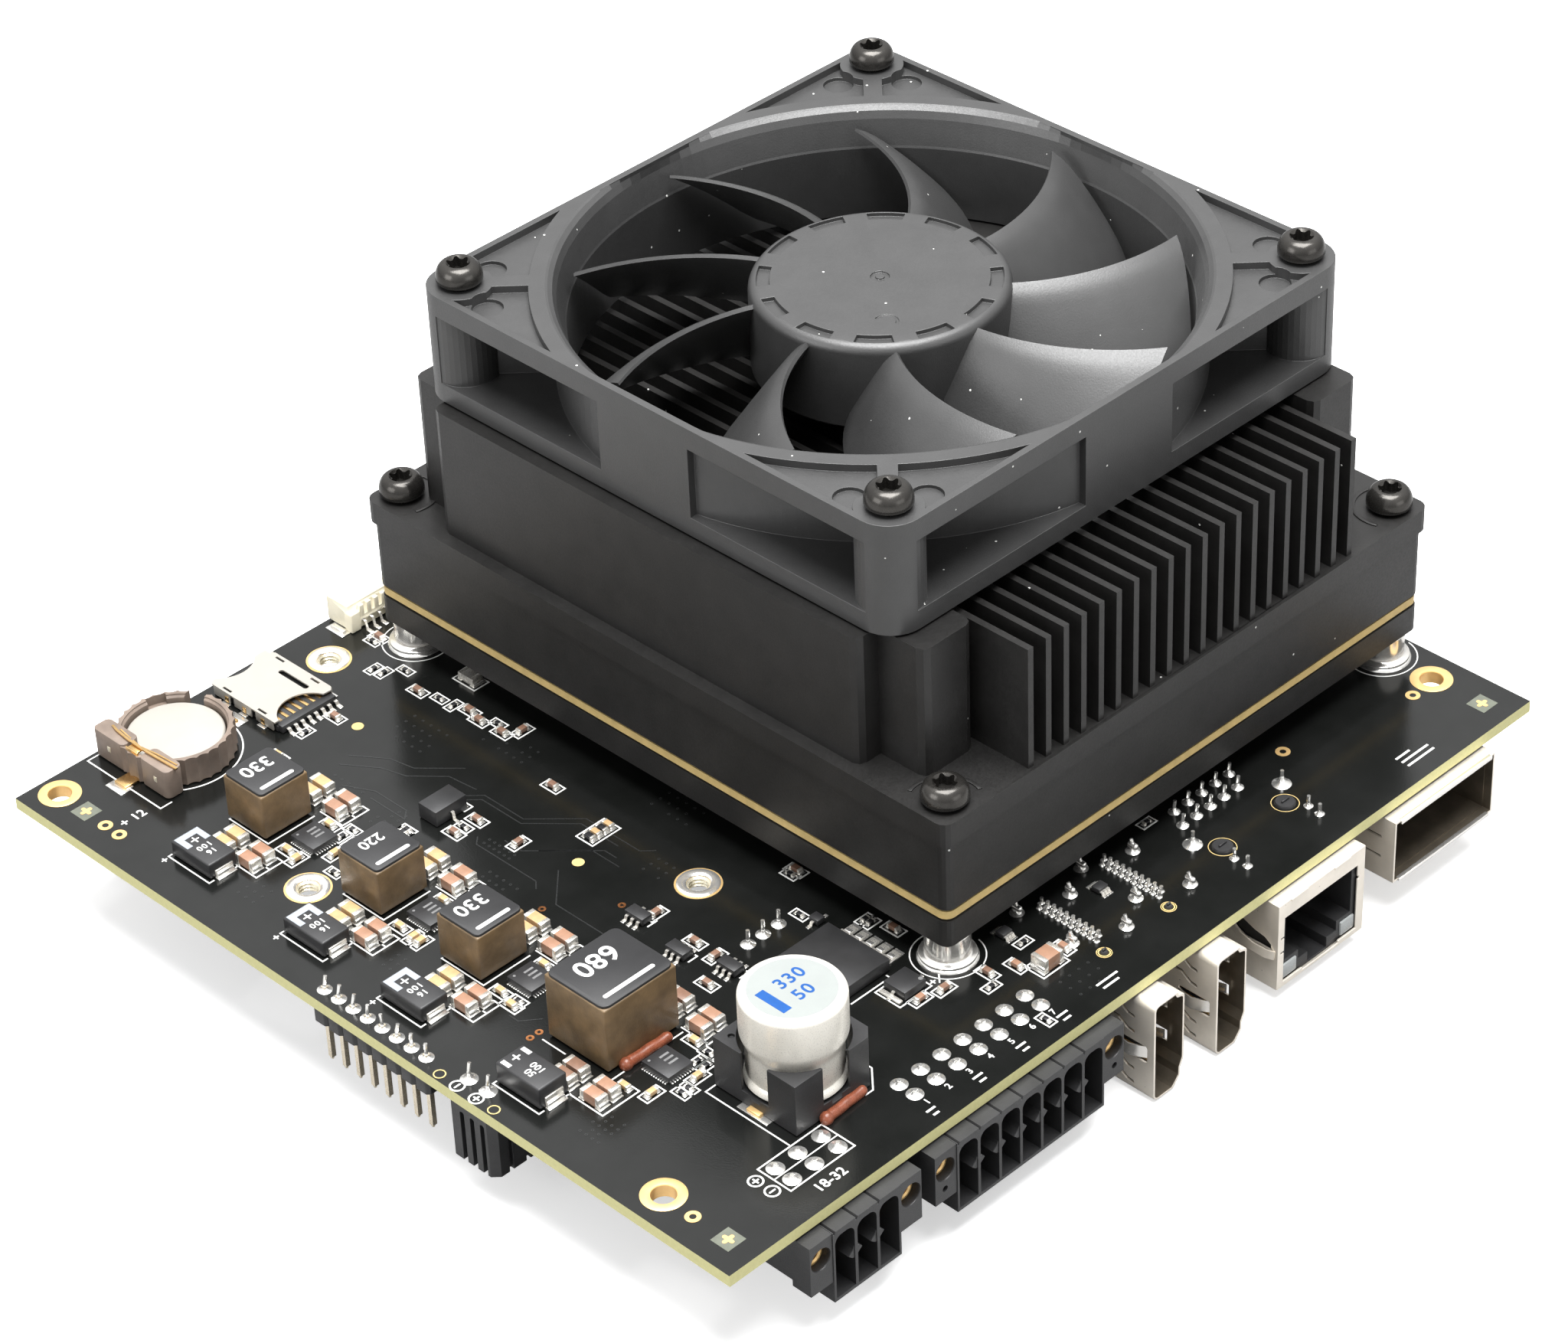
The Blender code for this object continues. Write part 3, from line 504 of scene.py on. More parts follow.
def soften(piece, width_mm, segments=2, angle=35.0):
    """Rounds a piece's edges through modifiers, after its flat faces are made whole."""
    flat = piece.modifiers.new("flat", "DECIMATE")
    flat.decimate_type = "DISSOLVE"
    flat.angle_limit = math.radians(0.5)
    bevel = piece.modifiers.new("edges", "BEVEL")
    bevel.width = width_mm * MM
    bevel.segments = segments
    bevel.limit_method = "ANGLE"
    bevel.angle_limit = math.radians(angle)
    bevel.harden_normals = True
    return piece

# ---------------------------------------------------------------- CAD nodes

def paint(node, material, bevel=0.0):
    """Gives a CAD node its material and, where asked, softly rounded edges."""
    piece = frame["nodes"][node]
    piece.data.materials.clear()
    piece.data.materials.append(MATERIALS[material])
    for polygon in piece.data.polygons:
        polygon.material_index = 0
    if bevel:
        soften(piece, bevel)
    return piece

SOFT_EDGES = {"heatsink": 0.16, "thermal_plate": 0.3, "module_lower_frame": 0.3}

def paint_frame():
    """Every CAD node takes the material of its slot in the record, and the machined blocks soft edges."""
    for part in frame["record"]["subparts"]:
        paint(part["node"], part["material_slot"], SOFT_EDGES.get(part["node"], 0.0))

# ---------------------------------------------------------------- fan

FAN_LOW, FAN_HIGH = box_mm("fan_frame")
FAN_CENTRE = middle_mm("fan_frame")
FAN_HALF = (FAN_HIGH.x - FAN_LOW.x) / 2
FAN_SCREWS = [middle_mm(f"fan_screw_{index}") for index in range(1, 5)]
SCREW_REACH = abs(FAN_SCREWS[0].x - FAN_CENTRE.x)
BOSS_RADIUS = 4.1
RIB_HALF = 1.2

def corner_pocket(outer, ring_radius):
    """One of the eight pockets beside a corner's diagonal rib, with the fan's axis as the origin.

    It is bounded by the outer edge, a ring about the fan's axis, the rib and the screw boss.
    """
    start = math.degrees(math.asin(outer / ring_radius)) if ring_radius > outer else 79.0
    rib_angle = 45.0 + math.degrees(math.asin(RIB_HALF / ring_radius))
    outline = arc((0.0, 0.0), ring_radius, start, rib_angle, 14)
    boss = (SCREW_REACH, SCREW_REACH)
    rib_turn = math.degrees(math.asin(RIB_HALF / BOSS_RADIUS))
    top_turn = min(0.0, math.degrees(math.asin((outer - SCREW_REACH) / BOSS_RADIUS)) - 90.0) if (
        outer - SCREW_REACH < BOSS_RADIUS) else 0.0
    outline += arc(boss, BOSS_RADIUS, 225.0 - rib_turn, 90.0 - top_turn, 12)
    if outer > SCREW_REACH + BOSS_RADIUS:
        outline.append((SCREW_REACH, outer))
        outline.append((outline[0][0], outer))
    return outline

def eight_ways(outline):
    """The outline and its mirror images in both axes and in the diagonal, about the fan's axis."""
    for side_x in (-1, 1):
        for side_y in (-1, 1):
            yield [(FAN_CENTRE.x + side_x * x, FAN_CENTRE.y + side_y * y) for x, y in outline]
            yield [(FAN_CENTRE.x + side_x * y, FAN_CENTRE.y + side_y * x) for x, y in outline]

def make_fan_bore():
    """The air duct: straight below, flared at the mouth, and cut flat where it nears the frame's sides."""
    throat = 38.0
    flat = FAN_HALF - 0.95
    flare = ((38.0, 5.2), (38.12, 4.9), (39.0, 1.5), (39.45, 0.55), (40.0, 0.12), (40.3, 0.0))
    levels = [(throat, FAN_LOW.z - 1.0)]
    levels += [(radius, FAN_HIGH.z - depth) for radius, depth in flare]
    levels.append((40.3, FAN_HIGH.z + 1.0))
    part = bmesh.new()
    rings = []
    count = 144
    for radius, height in levels:
        ring = []
        for step in range(count):
            angle = math.tau * (step + 0.5) / count
            limit = flat / max(abs(math.cos(angle)), abs(math.sin(angle)))
            reach = min(radius, limit)
            ring.append(part.verts.new((
                FAN_CENTRE.x + reach * math.cos(angle), FAN_CENTRE.y + reach * math.sin(angle), height)))
        rings.append(ring)
    join_rings(part, rings)
    return Solid("fan_plastic").take(part)

def make_fan_frame():
    """A square frame with a flared duct, open sides between its flanges and recessed corners."""
    body = Solid()
    outline = rounded_rectangle(FAN_LOW, FAN_HIGH, 4.5, 8)
    body.prism(outline, FAN_LOW.z, FAN_HIGH.z, "fan_plastic")
    piece = body.done("fan_frame_moulding")
    sides = Solid()
    for pocket in eight_ways(corner_pocket(FAN_HALF + 1.0, 39.7)):
        sides.prism(pocket, FAN_LOW.z + 2.6, FAN_HIGH.z - 2.9, "fan_plastic")
    recess = Solid()
    for pocket in eight_ways(corner_pocket(FAN_HALF - 0.9, 42.3)):
        recess.prism(pocket, FAN_HIGH.z - 1.0, FAN_HIGH.z + 1.0, "fan_plastic")
    discs = Solid()
    for spot in eight_ways([(30.2, 36.4)]):
        centre = (*spot[0], 0.0)
        discs.disc(centre, 1.95, FAN_HIGH.z - 1.5, FAN_HIGH.z, "fan_plastic", 24)
    holes = Solid()
    for screw in FAN_SCREWS:
        holes.disc((screw.x, screw.y, 0.0), 2.15, FAN_LOW.z - 1, FAN_HIGH.z + 1, "fan_plastic", 24)
    subtract(piece, make_fan_bore(), sides, recess, discs, holes)
    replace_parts(piece, "fan_frame")
    soften(piece, 0.16, 2, 40.0)
    return piece

# ---------------------------------------------------------------- rotor

HUB_LOW, HUB_HIGH = box_mm("fan_rotor")
HUB_RADIUS = 16.0
BLADE_COUNT = 9
BLADE_START = -8.8
BLADE_TIP = 37.3
BLADE_TOP = FAN_HIGH.z - 2.0
BLADE_DROP = 10.6

def blade_point(out, along):
    """A point on a blade's middle surface: out runs from hub to tip, along from upper to lower edge."""
    radius = HUB_RADIUS - 0.4 + (BLADE_TIP - HUB_RADIUS + 0.4) * out
    lead = 17.5 * out ** 1.3
    span = 23.0 - 3.5 * out
    angle = math.radians(lead - span * along ** 0.95)
    height = BLADE_TOP - BLADE_DROP * along ** 1.12 - 0.5 * math.sin(math.pi * out) * along
    return Vector((radius * math.cos(angle), radius * math.sin(angle), height))

def add_blade(solid, turn):
    """A thin curved blade, thicker at its root and rounded along its edges."""
    part = bmesh.new()
    steps_out, steps_along = 14, 12
    grid = []
    for i in range(steps_out + 1):
        out = i / steps_out
        row = []
        for j in range(steps_along + 1):
            along = j / steps_along
            point = blade_point(out, along)
            slope_out = blade_point(min(1.0, out + 0.02), along) - blade_point(max(0.0, out - 0.02), along)
            slope_along = blade_point(out, min(1.0, along + 0.02)) - blade_point(out, max(0.0, along - 0.02))
            normal = slope_out.cross(slope_along).normalized()
            edge = min(1.0, 4 * min(along, 1 - along) + 0.45)
            half = (0.62 - 0.24 * out) * edge
            row.append((point, normal * half))
        grid.append(row)
    rotate = Matrix.Rotation(math.radians(turn), 3, "Z")
    centre = Vector((FAN_CENTRE.x, FAN_CENTRE.y, 0.0))
    front = [[part.verts.new(rotate @ (p + n) + centre) for p, n in row] for row in grid]
    back = [[part.verts.new(rotate @ (p - n) + centre) for p, n in row] for row in grid]
    for i in range(steps_out):
        for j in range(steps_along):
            part.faces.new((front[i][j], front[i + 1][j], front[i + 1][j + 1], front[i][j + 1]))
            part.faces.new((back[i][j], back[i][j + 1], back[i + 1][j + 1], back[i + 1][j]))
    for j in range(steps_along):
        for i in (0, steps_out):
            part.faces.new((front[i][j], front[i][j + 1], back[i][j + 1], back[i][j]))
    for i in range(steps_out):
        for j in (0, steps_along):
            part.faces.new((front[i][j], back[i][j], back[i + 1][j], front[i + 1][j]))
    bmesh.ops.recalc_face_normals(part, faces=part.faces)
    solid.take(part, "fan_plastic")

def make_rotor():
    """The hub cap with its rim of slots, and nine blades."""
    centre = (FAN_CENTRE.x, FAN_CENTRE.y, 0.0)
    top, bottom = HUB_HIGH.z, HUB_LOW.z
    profile = [(0, top)] + quarter_round(HUB_RADIUS, 1.3, top, 6)
    profile += [(HUB_RADIUS, bottom + 0.3), (HUB_RADIUS - 0.3, bottom)]
    profile += [(HUB_RADIUS - 1.4, bottom), (HUB_RADIUS - 1.4, top - 3.0), (0, top - 3.0)]
    hub = Solid()
    hub.lathe(centre, profile, "fan_plastic", 96)
    piece = hub.done("fan_hub", ROTOR)
    slots = Solid()
    count = 12
    for index in range(count):
        middle = 360 / count * index + 11
        outer = arc(centre, 14.95, middle - 9.2, middle + 9.2, 6)
        inner = arc(centre, 13.35, middle + 8.8, middle - 8.8, 6)
        slots.prism(outer + inner, top - 0.55, top + 1.0, "fan_plastic")
    gate = Solid()
    gate.lathe(
        centre, [(0.55, top + 1), (1.35, top + 1), (1.15, top - 0.22), (0.55, top - 0.22)],
        "fan_plastic", 24,
    )
    mark = Solid()
    spot = (centre[0] - 6.8, centre[1] - 7.6)
    mark.prism(
        arc(spot, 1.5, -70, 110, 10) + arc(spot, 1.15, 110, -70, 10), top - 0.15, top + 1.0,
        "fan_plastic",
    )
    subtract(piece, slots, gate, mark)
    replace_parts(piece, "fan_rotor")
    soften(piece, 0.14, 2, 40.0)
    blades = Solid()
    for index in range(BLADE_COUNT):
        add_blade(blades, BLADE_START + 360 / BLADE_COUNT * index)
    blades.done("fan_blades", ROTOR, 50.0)

# ---------------------------------------------------------------- printing and plating on the board

INK_WIDTH = 0.2
INK = (-0.01, 0.03)
GOLD = (-0.01, 0.045)

def add_ring(solid, centre, inner, outer, level, material, steps=28):
    """A flat printed or plated ring."""
    low, high = level
    solid.lathe((*centre, 0), [(inner, high), (outer, high), (outer, low), (inner, low)], material, steps)

def print_line(solid, path, width=INK_WIDTH, closed=False):
    """A white printed line of even width."""
    solid.ribbon(path, width, *INK, "white_ink", closed=closed)

def corners_of(low, high):
    """A rectangle's four corners in order, from its lowest and its highest."""
    return [low, (high[0], low[1]), high, (low[0], high[1])]

def print_bar(solid, low, high, level=INK, material="white_ink"):
    """A solid printed rectangle."""
    solid.prism(corners_of(low, high), *level, material)

def add_frame_line(solid, low, high):
    """A printed rectangle around a part."""
    print_line(solid, corners_of(low, high), closed=True)

def add_plus(solid, centre, reach, width, level, material, thin=False):
    """A plus sign, or with thin a minus sign."""
    x, y = centre
    solid.prism(rounded_rectangle((x - reach, y - width / 2), (x + reach, y + width / 2), width * 0.45, 2),
                *level, material)
    if not thin:
        low, high = level
        solid.prism(
            rounded_rectangle((x - width / 2, y - reach), (x + width / 2, y + reach), width * 0.45, 2),
            low, high + 0.002, material,
        )

def add_polarity(solid, centre, plus):
    """A circled plus or minus sign, as printed beside a connector."""
    add_ring(solid, centre, 0.75, 0.98, INK, "white_ink", 24)
    add_plus(solid, centre, 0.5, 0.22, INK, "white_ink", thin=not plus)

def make_digits(name, text, size, place, turn, material, spacing=1.05):
    """Plain printed figures, lying flat with their middle at a place."""
    curve = bpy.data.curves.new(name, "FONT")
    curve.body = text
    curve.size = size * MM
    curve.space_character = spacing
    curve.align_x = "CENTER"
    curve.align_y = "CENTER"
    curve.extrude = 0.012 * MM
    curve.offset = 0.018 * size * MM
    label = new_object(name, curve)
    label.location = Vector(place) * MM
    label.rotation_euler = (0.0, 0.0, math.radians(turn))
    mesh = evaluated_mesh(label)
    mesh.transform(label.matrix_world)
    bpy.data.objects.remove(label, do_unlink=True)
    mesh.materials.clear()
    mesh.materials.append(MATERIALS[material])
    piece = new_object(name, mesh)
    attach(piece, BODY)
    return piece

def make_plating():
    """Gold rings round the mounting holes, small plated holes and aiming marks."""
    gold = Solid("brass")
    for seat in frame["record"]["mounts"]:
        if seat["name"].startswith("screw_seat"):
            x, y, _ = (value / MM for value in seat["pos_m"])
            centre = (x - 2.1, y, 0.0)
            for side in (1, -1):
                face = (side - 1) * BOARD_THICKNESS / 2
                out = face + side * 0.075
                gold.lathe(centre, [(1.58, out), (1.75, out + side * 0.02), (2.6, out + side * 0.02),
                                    (2.72, out - side * 0.02), (2.72, face - side * 0.1),
                                    (1.58, face - side * 0.1)][::side], steps=48)
            gold.lathe(centre, [(1.52, 0.02), (1.61, 0.02), (1.61, -1.62), (1.52, -1.62)], steps=40)
    for centre in ((4.1, 112.4), (4.1, 109.7), (3.9, 9.6), (131.2, 11.5), (111.5, 16.0)):
        add_ring(gold, centre, 0.42, 0.95, GOLD, "brass", 24)
        gold.disc((*centre, 0), 0.45, -0.02, -0.005, "copper", 16)
    for centre in ((12.2, 44.8), (13.6, 44.8), (29.1, 61.0), (36.0, 54.5)):
        add_ring(gold, centre, 0.22, 0.5, GOLD, "copper", 20)
    for centre in ((4.3, 116.4), (4.0, 4.2), (135.6, 4.1)):
        x, y = centre
        print_bar(gold, (x - 1.4, y - 1.4), (x + 1.4, y + 1.4), (-0.01, 0.02), "bare_board")
        add_plus(gold, centre, 0.85, 0.55, (0.0, 0.05), "brass")
    for centre in ((38.2, 104.7), (38.1, 64.3), (0.95, 47.8), (1.0, 38.7), (67.9, 6.5), (79.3, 6.5)):
        add_ring(
            gold, centre, 0.0 if centre[0] > 30 and centre[1] > 20 else 0.62, 0.78, GOLD,
            "bare_laminate", 20,
        )
    gold.done("board_plating")

def make_inserts():
    """Pressed threaded inserts: a gold lip, a bright collar and a turned thread inside."""
    metal = Solid()
    for index in range(1, 4):
        centre = foot_mm(f"threaded_insert_{index}")
        metal.lathe(centre, [(2.62, 0.03), (2.95, 0.03), (2.95, -0.01), (2.62, -0.01)], "brass", 40)
        metal.lathe(
            centre, [(1.5, 0.1), (1.75, 0.28), (2.45, 0.28), (2.7, 0.12), (2.7, -0.01), (1.5, -0.01)],
            "bright_steel", 40,
        )
        thread = []
        pitch = 0.5
        for turn in range(3):
            top = -0.05 - turn * pitch
            thread += [(1.5, top), (1.22, top - pitch / 2)]
        thread += [(1.5, -1.55), (1.52, -1.55), (1.52, -0.05)]
        metal.lathe(centre, thread, "cream_metal", 32)
    metal.done("insert_collars")

TRACE_WIDTH = 0.16
TRACE = (-0.01, 0.025)
SHARE_OF_HOLES = 0.85

def make_traces():
    """Copper tracks under the mask, which show as fine raised lines, and rows of tented holes."""
    tracks = Solid()
    routes = (
        [(31.5, 100.5), (34.5, 96.0), (35.5, 92.5), (39.0, 88.5), (39.5, 84.0)],
        [(33.5, 101.0), (36.5, 96.6), (37.2, 93.0), (41.5, 88.2)],
        [(28.9, 97.0), (30.9, 93.0), (30.9, 87.3), (29.7, 86.2)],
        [(29.6, 92.5), (29.6, 86.0)],
        [(36.2, 84.5), (38.6, 82.0), (38.6, 75.0), (43.5, 69.5), (43.5, 63.0)],
        [(37.3, 84.6), (39.4, 82.4), (39.4, 75.4), (44.6, 69.8), (44.6, 60.4), (46.0, 59.0)],
        [(33.3, 77.0), (32.2, 76.0), (32.2, 65.4), (31.2, 64.3)],
        [(35.0, 74.0), (35.0, 71.0), (41.8, 63.6), (41.8, 61.5)],
        [(36.4, 69.5), (40.8, 64.8), (40.8, 60.0)],
        [(13.3, 49.6), (13.3, 48.0), (15.5, 46.2)],
        [(30.8, 52.0), (30.8, 60.4), (35.5, 65.0)],
    )
    for route in routes:
        tracks.ribbon(route, TRACE_WIDTH, *TRACE, "mask")
    rng = random.Random(7)
    fields = (
        (6.7, 87.5, 3, 3, 1.4), (26.5, 86.5, 4, 3, 1.2), (28.4, 94.0, 2, 5, 1.3), (33.0, 71.0, 2, 6, 0.9),
        (5.2, 26.0, 5, 4, 1.0), (40.0, 95.0, 4, 5, 1.5), (47.0, 84.0, 3, 6, 1.4), (60.5, 3.5, 4, 3, 1.6),
        (52.0, 60.0, 3, 5, 1.5), (9.5, 66.0, 3, 2, 1.2), (42.5, 55.0, 3, 3, 1.3), (28.5, 66.0, 2, 5, 1.2),
    )
    for x, y, across, deep, pitch in fields:
        for column in range(across):
            for row in range(deep):
                if rng.random() < SHARE_OF_HOLES:
                    spot = (x + column * pitch, y + row * pitch)
                    add_ring(tracks, spot, 0.09, 0.2, (-0.01, 0.02), "mask", 10)
    tracks.done("board_tracks")

def circle_line(solid, centre, radius, start, end, width=INK_WIDTH):
    """A printed arc, with its angles in degrees."""
    print_line(solid, arc(centre, radius, start, end, 40), width)

def make_printing():
    """White printed outlines, and plain marks where the real board has lettering."""
    ink = Solid()
    for index in range(1, 4):
        low, high = box_mm(f"inductor_small_{index}")
        print_line(
            ink,
            [
                (low.x + 0.1, high.y - 0.4), (low.x - 0.1, high.y - 0.4), (low.x - 0.1, low.y - 0.5),
                (high.x - 0.1, low.y - 0.5),
            ],
        )
    low, high = box_mm("inductor_large")
    print_line(ink, [(low.x - 0.9, high.y + 0.1), (low.x - 0.9, low.y + 6.2)])
    print_line(ink, [(low.x - 0.4, low.y - 0.9), (low.x + 1.6, low.y - 0.9)])
    print_line(ink, [(high.x - 2.2, low.y - 0.9), (high.x - 0.4, low.y - 0.9)])
    for node in ("polymer_cap_1", "polymer_cap_2", "polymer_cap_3", "polymer_cap_large"):
        low, high = box_mm(node)
        left = low.x - 0.45
        print_line(
            ink,
            [
                (left + 0.6, high.y + 0.2), (left, high.y + 0.2), (left, low.y - 0.2),
                (left + 0.8, low.y - 0.2),
            ],
        )
        print_line(ink, [(high.x - 0.8, low.y - 0.2), (high.x + 0.1, low.y - 0.2)])
        if node != "polymer_cap_large":
            add_plus(ink, (left - 0.8, high.y), 0.42, 0.2, INK, "white_ink")
    print_line(ink, [(21.0, 23.3), (19.3, 23.3), (19.3, 10.0)])
    print_line(ink, [(31.0, 9.6), (32.3, 9.6), (34.9, 12.3), (34.9, 15.0)])
    add_frame_line(ink, (14.1, 4.6), (24.2, 9.8))
    print_line(ink, [(14.1, 7.25), (24.2, 7.25)], 0.16)
    for place, plus in (
        ((12.6, 8.6), True), ((12.7, 6.1), False), ((0.95, 44.8), False), ((0.95, 41.6), True)
    ):
        add_polarity(ink, place, plus)
    print_line(ink, [(12.6, 124.3), (10.8, 124.3), (10.8, 110.0), (12.6, 110.0)])
    circle_line(ink, (19.7, 117.5), 8.1, -125, 20)
    circle_line(ink, (19.7, 117.5), 8.1, 60, 125)
    print_line(ink, [(41.3, 21.8), (47.8, 21.8), (47.8, 22.4)])
    print_line(ink, [(51.0, 16.9), (52.6, 18.6)])
    add_plus(ink, (50.6, 17.6), 0.42, 0.2, INK, "white_ink")
    for index in range(1, 5):
        circle_line(ink, foot_mm(f"module_standoff_{index}"), 4.5, 10, 350, 0.16)
    for x, y, wide in (
        (41.2, 2.4, 1.6), (48.4, 2.4, 1.6), (55.5, 2.6, 1.8), (62.8, 3.0, 3.6), (33.6, 2.4, 1.4)
    ):
        print_bar(ink, (x, y), (x + wide, y + 0.3))
        print_bar(ink, (x + 0.2, y - 0.9), (x + wide * 0.8, y - 0.6))
    for row, wide in enumerate((2.6, 5.0, 5.0)):
        y = 4.6 - row * 0.95
        print_bar(ink, (119.5, y), (119.5 + wide, y + 0.32))
    ink.done("board_printing")
    make_digits("figures_input", "18-32", 1.9, (18.4, 2.7, 0.015), 0, "white_ink")
    make_digits("figures_battery", "+ 12", 1.9, (7.3, 111.0, 0.015), 0, "white_ink")
    for way in range(7):
        place = (35.0 + WAY * way, 3.75, 0.015)
        make_digits(f"figure_way_{way + 1}", str(way + 1), 1.3, place, 0, "white_ink")

# ---------------------------------------------------------------- small surface parts

def add_chip(solid, x, y, size, along, body, outline=None):
    """A two-ended part: a ceramic or resistive body between plated ends, on solder."""
    length, width, height = size
    cap = length * 0.2

    def spans(a0, a1, b, low, high, material, bevel):
        if along == "x":
            solid.box((x + a0, y - b, low), (x + a1, y + b, high), material, bevel, 2)
        else:
            solid.box((x - b, y + a0, low), (x + b, y + a1, high), material, bevel, 2)

    half = length / 2
    floor = 0.08
    shy = 0.03
    body_half = half - cap * 0.8
    spans(-body_half, body_half, width / 2 - shy, floor + shy, height - shy, body, 0.03)
    for side in (-1, 1):
        ends = sorted((side * half, side * (half - cap)))
        spans(*ends, width / 2, floor, height, "tin", min(0.09, width * 0.1))
        pad = sorted((side * (half + 0.28), side * (half - cap * 1.1)))
        spans(*pad, width / 2 + 0.05, 0.0, 0.09, "solder", 0.03)
        foot = sorted((side * (half + 0.14), side * (half - 0.05)))
        spans(*foot, width / 2 - 0.05, 0.02, height * 0.45, "solder", 0.08)
    if outline:
        margin_long, margin_wide = 0.62, 0.36
        dx = (half + margin_long, width / 2 + margin_wide)
        dx = dx if along == "x" else dx[::-1]
        add_frame_line(outline, (x - dx[0], y - dx[1]), (x + dx[0], y + dx[1]))

CHIP_1206 = (3.1, 1.6, 1.5)
CHIP_0603 = (1.6, 0.85, 0.7)
CHIP_0402 = (1.1, 0.6, 0.4)

def make_power_filters():
    """The ceramic capacitors that flank each inductor, in two tan and two pinkish pairs a side."""
    parts = Solid()
    ink = Solid()
    for index in range(1, 4):
        low, _ = box_mm(f"inductor_small_{index}")
        for left in (-4.3, 9.4):
            for column in (0.0, 2.1):
                add_chip(parts, low.x + left + column, low.y + 2.8, CHIP_1206, "y", "ceramic_tan")
                add_chip(parts, low.x + left + column, low.y - 1.95, CHIP_1206, "y", "ceramic_pink")
            x, y = low.x + left - 1.05, low.y - 4.5
            print_line(ink, [(x, y + 4.2), (x, y), (x + 4.2, y), (x + 4.2, y + 1.2)])
            print_line(ink, [(x + 2.1, y), (x + 2.1, y + 0.7)])
    low, high = box_mm("inductor_large")
    for x in (low.x - 4.2, low.x - 2.2, high.x + 1.1, high.x + 3.1):
        add_chip(parts, x, low.y + 2.9, CHIP_1206, "y", "ceramic_brown")
        add_chip(parts, x, low.y - 2.1, CHIP_1206, "y", "ceramic_pink")
    add_chip(parts, low.x - 0.3, low.y - 2.9, CHIP_0603, "y", "ceramic_tan")
    add_chip(parts, high.x - 0.7, low.y - 3.1, CHIP_0603, "y", "ceramic_tan", ink)
    x, y = low.x - 5.3, low.y - 4.6
    print_line(ink, [(x, y + 5.6), (x, y), (x + 5.7, y), (x + 5.7, y + 1.3)])
    x = high.x + 0.05
    print_line(ink, [(x + 0.8, y), (x, y), (x, y + 4.5)])
    parts.done("filter_capacitors")
    ink.done("filter_outlines")

def add_regulator(solid, x, y, width, depth):
    """A leadless package with a row of small pads along two sides."""
    solid.box((x - width / 2, y - depth / 2, 0.05), (x + width / 2, y + depth / 2, 0.9), "chip_black", 0.04)
    count = 11
    for index in range(count):
        place = y - depth / 2 + 0.35 + index * (depth - 0.7) / (count - 1)
        for side in (-1, 1):
            edge = x + side * (width / 2 + 0.17)
            solid.box((edge - 0.2, place - 0.11, 0.0), (edge + 0.2, place + 0.11, 0.1), "solder", 0.03)
    for index in range(9):
        place = x - width / 2 + 0.35 + index * (width - 0.7) / 8
        for side in (-1, 1):
            edge = y + side * (depth / 2 + 0.17)
            solid.box((place - 0.11, edge - 0.2, 0.0), (place + 0.11, edge + 0.2, 0.1), "solder", 0.03)
    solid.disc((x - width / 2 + 0.6, y + depth / 2 - 0.6, 0), 0.18, 0.85, 0.92, "grey_ink", 12)
    for row in range(3):
        place = y + 0.9 - row * 0.75
        solid.box((x - 0.2, place, 0.86), (x + 1.2, place + 0.32, 0.905), "grey_ink")

def add_gull_package(solid, x, y, body, leads, pitch, along="y", height=1.1, reach=0.75):
    """A small moulded package with bent leads on its two long sides."""
    width, depth = body
    low = (x - width / 2, y - depth / 2, 0.12)
    solid.box(low, (x + width / 2, y + depth / 2, height), "chip_black", 0.08)
    half = (width if along == "y" else depth) / 2

    def spot(side, out, place, level):
        across = side * (half + out)
        return (x + across, y + place, level) if along == "y" else (x + place, y + across, level)

    for side in (-1, 1):
        for index in range(leads):
            place = (index - (leads - 1) / 2) * pitch
            steps = ((-0.1, height * 0.5), (0.25, height * 0.5), (0.4, 0.1), (reach, 0.07))
            path = [spot(side, out, place, level) for out, level in steps]
            solid.tube(path, 0.0, "tin", flat=(0.42, 0.14))
            end = path[-1]
            solid.box(
                (end[0] - 0.3, end[1] - 0.26, 0.0), (end[0] + 0.3, end[1] + 0.26, 0.09), "solder", 0.03
            )

